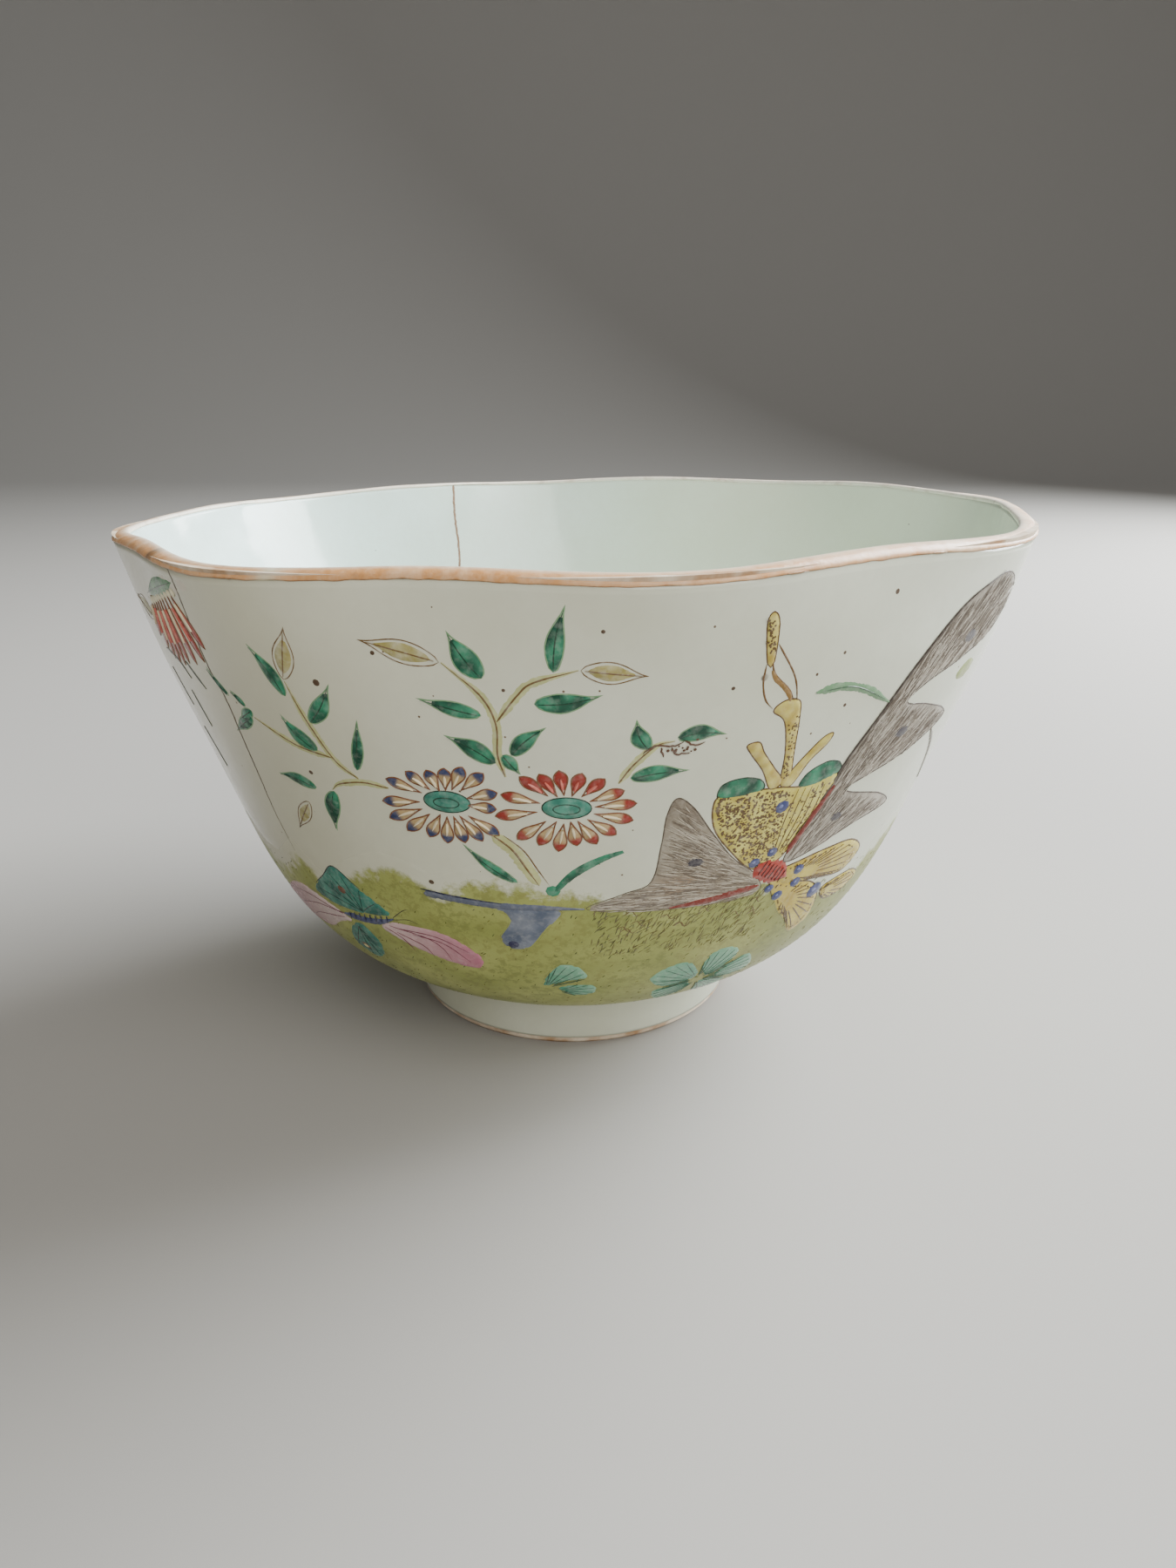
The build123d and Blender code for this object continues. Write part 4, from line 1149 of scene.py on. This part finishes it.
# ---------------------------------------------------------------- grass, pond leaves and ground
GRASS_SPOT = [(50.2, 57.2), (52.0, 58.6), (54.4, 58.0), (53.6, 56.4), (51.4, 56.2)]
SIDE_GRASS = [
    [(-57.7, 59.3), (-53.0, 58.6), (-50.5, 56.9)], [(-49.8, 59.2), (-46.5, 56.4)],
    [(-53.4, 54.8), (-52.0, 50.3)], [(-57.5, 49.0), (-55.3, 44.0)], [(-60.0, 56.4), (-57.0, 52.0)],
]
FAN_LEAVES = [
    [(-4.3, 19.1), (-3.4, 22.2), (-1.4, 24.1), (1.6, 23.6), (3.0, 21.2), (0.0, 20.4)],
    [(-2.0, 18.6), (1.0, 19.6), (4.2, 19.2), (4.4, 17.0), (1.0, 16.2)],
]
CLOVER_LEAVES = [
    [(13.3, 19.4), (15.4, 22.0), (19.0, 22.7), (21.4, 21.0), (22.4, 18.2), (17.0, 16.8)],
    [(22.2, 20.8), (23.0, 23.6), (26.0, 24.2), (28.6, 22.6), (27.2, 19.6), (24.6, 17.8)],
    [(26.4, 17.4), (28.6, 20.4), (31.4, 21.3), (34.0, 19.0), (34.6, 16.2), (30.0, 15.8)],
    [(15.2, 15.8), (22.2, 16.6), (21.6, 12.6), (18.0, 10.6)],
    [(24.0, 16.6), (31.0, 14.8), (31.2, 11.6), (26.0, 11.2)],
]
POND_ROOTS = [(-4.0, 18.8), (-2.0, 18.0)] + [(23.0, 17.6)] * 5
# (azimuth, rise) of the green ground's upper edge.
TURF_TOP = [
    (-180, 33), (-150, 34), (-128, 31), (-110, 33), (-90, 32), (-70, 33.5), (-60, 32), (-50, 30),
    (-43, 34.5), (-38, 31), (-32, 34), (-25, 36.7), (-18, 34.5), (-10, 36.5), (0, 35.5), (3, 34.2),
    (16, 34.6), (30, 34.0), (45, 28), (52, 31), (57, 34.5), (62, 34), (80, 32), (100, 34), (120, 31.5),
    (150, 34.5), (180, 33),
]
TURF_COLUMNS = 720
TURF_ROWS = 72
TURF_FOOT = 0.5
TURF_FADE = 3.4


def paint_grass():
    grass = Coat("grass_blades")
    blade = [(25.7, 58.7), (29.0, 58.9), (33.0, 58.0), (36.0, 56.6), (37.6, 55.9)]
    stroke(grass, blade, 1.0, ink(120, 156, 120), 0.1)
    stroke(grass, [(26.5, 58.8), (31.0, 58.6), (36.4, 56.5)], 0.15, ink(70, 100, 74), base=0.07)
    stroke(grass, [(51.5, 50.0), (55.0, 47.3), (58.0, 44.3), (61.0, 40.8)], 0.7, ink(120, 116, 100), 0.1)
    stroke(grass, [(42.9, 17.5), (47.0, 15.5), (51.5, 12.6)], 0.6, ink(66, 74, 50), 0.1)
    patch(grass, curve(GRASS_SPOT, closed=True), ink(156, 168, 104), height=0.08)
    for path in SIDE_GRASS:
        stroke(grass, path, 0.55, ink(72, 78, 60), 0.08)
    grass.lay(make_enamel("grass_enamel"))


def paint_pond():
    pond = Coat("pond_leaves")
    dark = ink(48, 98, 76)
    for shape, root in zip(FAN_LEAVES + CLOVER_LEAVES, np.array(POND_ROOTS)):
        reach = np.linalg.norm(curve(shape, closed=True) - root, axis=1).max()

        def colour(azimuth, rise, edge, root=root, reach=reach):
            share = np.clip(np.hypot(azimuth - root[0], rise - root[1]) / reach, 0, 1)[:, None]
            return blend(ink(78, 146, 120), ink(136, 182, 154), share)

        for aim in pool(pond, shape, colour, 0.13, 0.2, dark)[::4] - root:
            if np.linalg.norm(aim) > 0.55 * reach:
                path = [root + aim * 0.2, root + aim * 0.55, root + aim * 0.93]
                stroke(pond, path, 0.13, dark, height=0.04, base=0.11)
    pond.lay(make_enamel("pond_enamel"))


def paint_turf():
    """Green ground all round the lower wall, fading into the glaze at its humped upper edge."""
    tops = np.array(TURF_TOP, float)
    azimuths = np.arange(TURF_COLUMNS) * 360.0 / TURF_COLUMNS - 180.0
    aims = np.radians(azimuths)
    top = np.interp(azimuths, tops[:, 0], tops[:, 1]) + 1.5 * clouds(9 * np.cos(aims), 9 * np.sin(aims), 30.0)
    dense = (0.87 - 0.16 * np.sin(aims))[:, None]
    points, covers, colours = [], [], []
    for share in np.linspace(0, 1, TURF_ROWS):
        rise = TURF_FOOT + (top + TURF_FADE - TURF_FOOT) * share
        cover = np.clip(0.5 + (top - rise) / 4.4, 0, 1) ** 0.8
        lift = 0.012 + 0.05 * np.clip(cover - 0.3, 0, 1) - (0.03 if share in (0, 1) else 0.0)
        points.append(outside(azimuths, rise, lift))
        covers.append(cover)
        sway = np.clip(0.5 + clouds(azimuths * 0.10, rise * 0.22, 40.0), 0, 1)[:, None]
        colours.append(dense * blend(ink(180, 184, 116), ink(156, 162, 92), sway))
    make_piece("turf_wash", np.concatenate(points), ring_faces(TURF_ROWS, TURF_COLUMNS),
               make_wash("turf_wash"), "turf_enamel",
               paint=np.concatenate(colours), cover=np.concatenate(covers))


def hatch(coat, count, spans, width, inks):
    """Short strokes of the fine brush. The spans are of azimuth, rise, heading and length."""
    for _ in range(count):
        azimuth, rise, heading, reach = (RANDOM.uniform(*span) for span in spans)
        path = [(azimuth, rise), (azimuth + reach * math.cos(heading), rise + reach * math.sin(heading))]
        stroke(coat, path, width, inks[RANDOM.integers(len(inks))], height=0.02, base=0.055, taper=(0.3, 0.4))


def paint_turf_dabs():
    """Hatching over the green ground, closer below the butterfly, and a few brown scrawls."""
    dabs = Coat("turf_enamel")
    hatch(dabs, 900, ((-95, 95), (8, 32.5), (0.2, 1.4), (0.25, 0.7)), 0.13,
          (ink(112, 116, 56), ink(134, 132, 70), ink(92, 96, 44)))
    hatch(dabs, 420, ((3, 28), (25.5, 33.0), (0.3, 1.5), (0.5, 1.3)), 0.11,
          (ink(116, 104, 60), ink(96, 92, 48)))
    for _ in range(14):
        azimuth, rise = RANDOM.uniform(4, 27), RANDOM.uniform(29.5, 33)
        scrawl = [(azimuth + a, rise + r) for a, r in ((0, 0), (0.9, 0.5), (1.7, -0.3), (2.6, 0.4))]
        stroke(dabs, scrawl, 0.12, ink(118, 98, 58), height=0.02, base=0.055)
    dabs.lay(make_enamel("turf_dabs"), replaces=False)


# ---------------------------------------------------------------- crack, specks, marks and a painted highlight
OUTER_CRACK = [
    (-43.0, 71.0), (-42.8, 68.0), (-42.8, 60.0), (-42.0, 56.0), (-42.8, 50.0), (-43.5, 45.0), (-44.0, 40.0),
    (-43.5, 35.0),
]
INNER_CRACK = [(-156.0, LIP - 0.7), (-155.7, 66.0), (-155.9, 60.0), (-155.4, 52.0), (-155.8, 44.0)]
SCRIBBLE = [
    [(7.4, 54.0), (8.8, 54.9), (10.4, 54.6), (11.6, 55.2)], [(9.2, 54.6), (9.6, 53.4)],
    [(10.4, 54.6), (11.0, 53.6), (12.4, 53.8)], [(11.6, 55.2), (12.8, 54.6), (13.8, 54.9)],
]
# (azimuth, rise, size) of the larger iron specks.
SPECKS = [
    (-26.0, 60.4, 0.42), (-31.5, 48.8, 0.3), (-19.0, 63.9, 0.25), (-18.3, 36.0, 0.45), (2.9, 66.8, 0.22),
    (15.7, 60.5, 0.22), (24.8, 52.3, 0.3), (30.3, 56.7, 0.22), (25.2, 60.7, 0.18), (28.2, 62.5, 0.2),
    (33.5, 67.8, 0.3), (-6.3, 60.7, 0.2),
]


def scatter(coat, count, rises, sizes, colour):
    """Small specks all round the wall."""
    for _ in range(count):
        azimuth, rise, size = (RANDOM.uniform(*span) for span in ((-180, 180), rises, sizes))
        dot(coat, azimuth, rise, size, colour, 0.02, base=-0.004)


def paint_marks():
    outer = Coat("outer_glaze")
    stroke(outer, OUTER_CRACK, 0.3, ink(100, 82, 58), height=0.02, base=0.004, taper=(0.01, 0.4), shake=0.03)
    for azimuth, rise, size in SPECKS:
        dot(outer, azimuth, rise, size, ink(96, 74, 52), 0.03, base=-0.004)
    crumb = ink(104, 70, 46)
    for path in SCRIBBLE:
        stroke(outer, path, 0.2, crumb, height=0.06, base=0.06, shake=0.05)
    for _ in range(14):
        azimuth, rise = 10.8 + RANDOM.normal(0, 1.5), 54.2 + RANDOM.normal(0, 0.4)
        dot(outer, azimuth, rise, RANDOM.uniform(0.08, 0.18), crumb, 0.06, base=0.1)
    scatter(outer, 70, (36, 69), (0.06, 0.16), ink(118, 98, 72))
    # Pale streaks just below the lip, left of the front: a painted highlight on the lip's lobe.
    for azimuth, rise in ((-46.0, 69.2), (-43.6, 68.6), (-41.2, 69.4)):
        dot(outer, azimuth, rise, 0.75, ink(222, 214, 196), 0.04, base=-0.008, stretch=1.7)
    outer.lay(make_enamel("outer_marks", rough=0.35), turns=(0,), replaces=False)

    inner = Coat("inner_glaze")
    stroke(inner, INNER_CRACK, 0.42, ink(150, 122, 100),
           height=0.02, base=0.004, taper=(0.01, 0.4), shake=0.03)
    scatter(inner, 60, (20, 70), (0.08, 0.26), ink(122, 118, 108))
    inner.lay(make_enamel("inner_marks", rough=0.35), turns=(0,), side=inside, replaces=False)


paint_turf()
paint_turf_dabs()
paint_leaves()
paint_aster("blue_aster", np.array((-13.9, 47.4)), BLUE_TIPS, ink(62, 72, 110))
paint_aster("red_aster", np.array((-0.3, 47.3)), RED_TIPS, ink(158, 58, 44), pink=(0, 1, 2, 3, 15))
paint_side_aster()
paint_moth()
paint_twig()
paint_butterfly()
paint_grass()
paint_pond()
paint_marks()
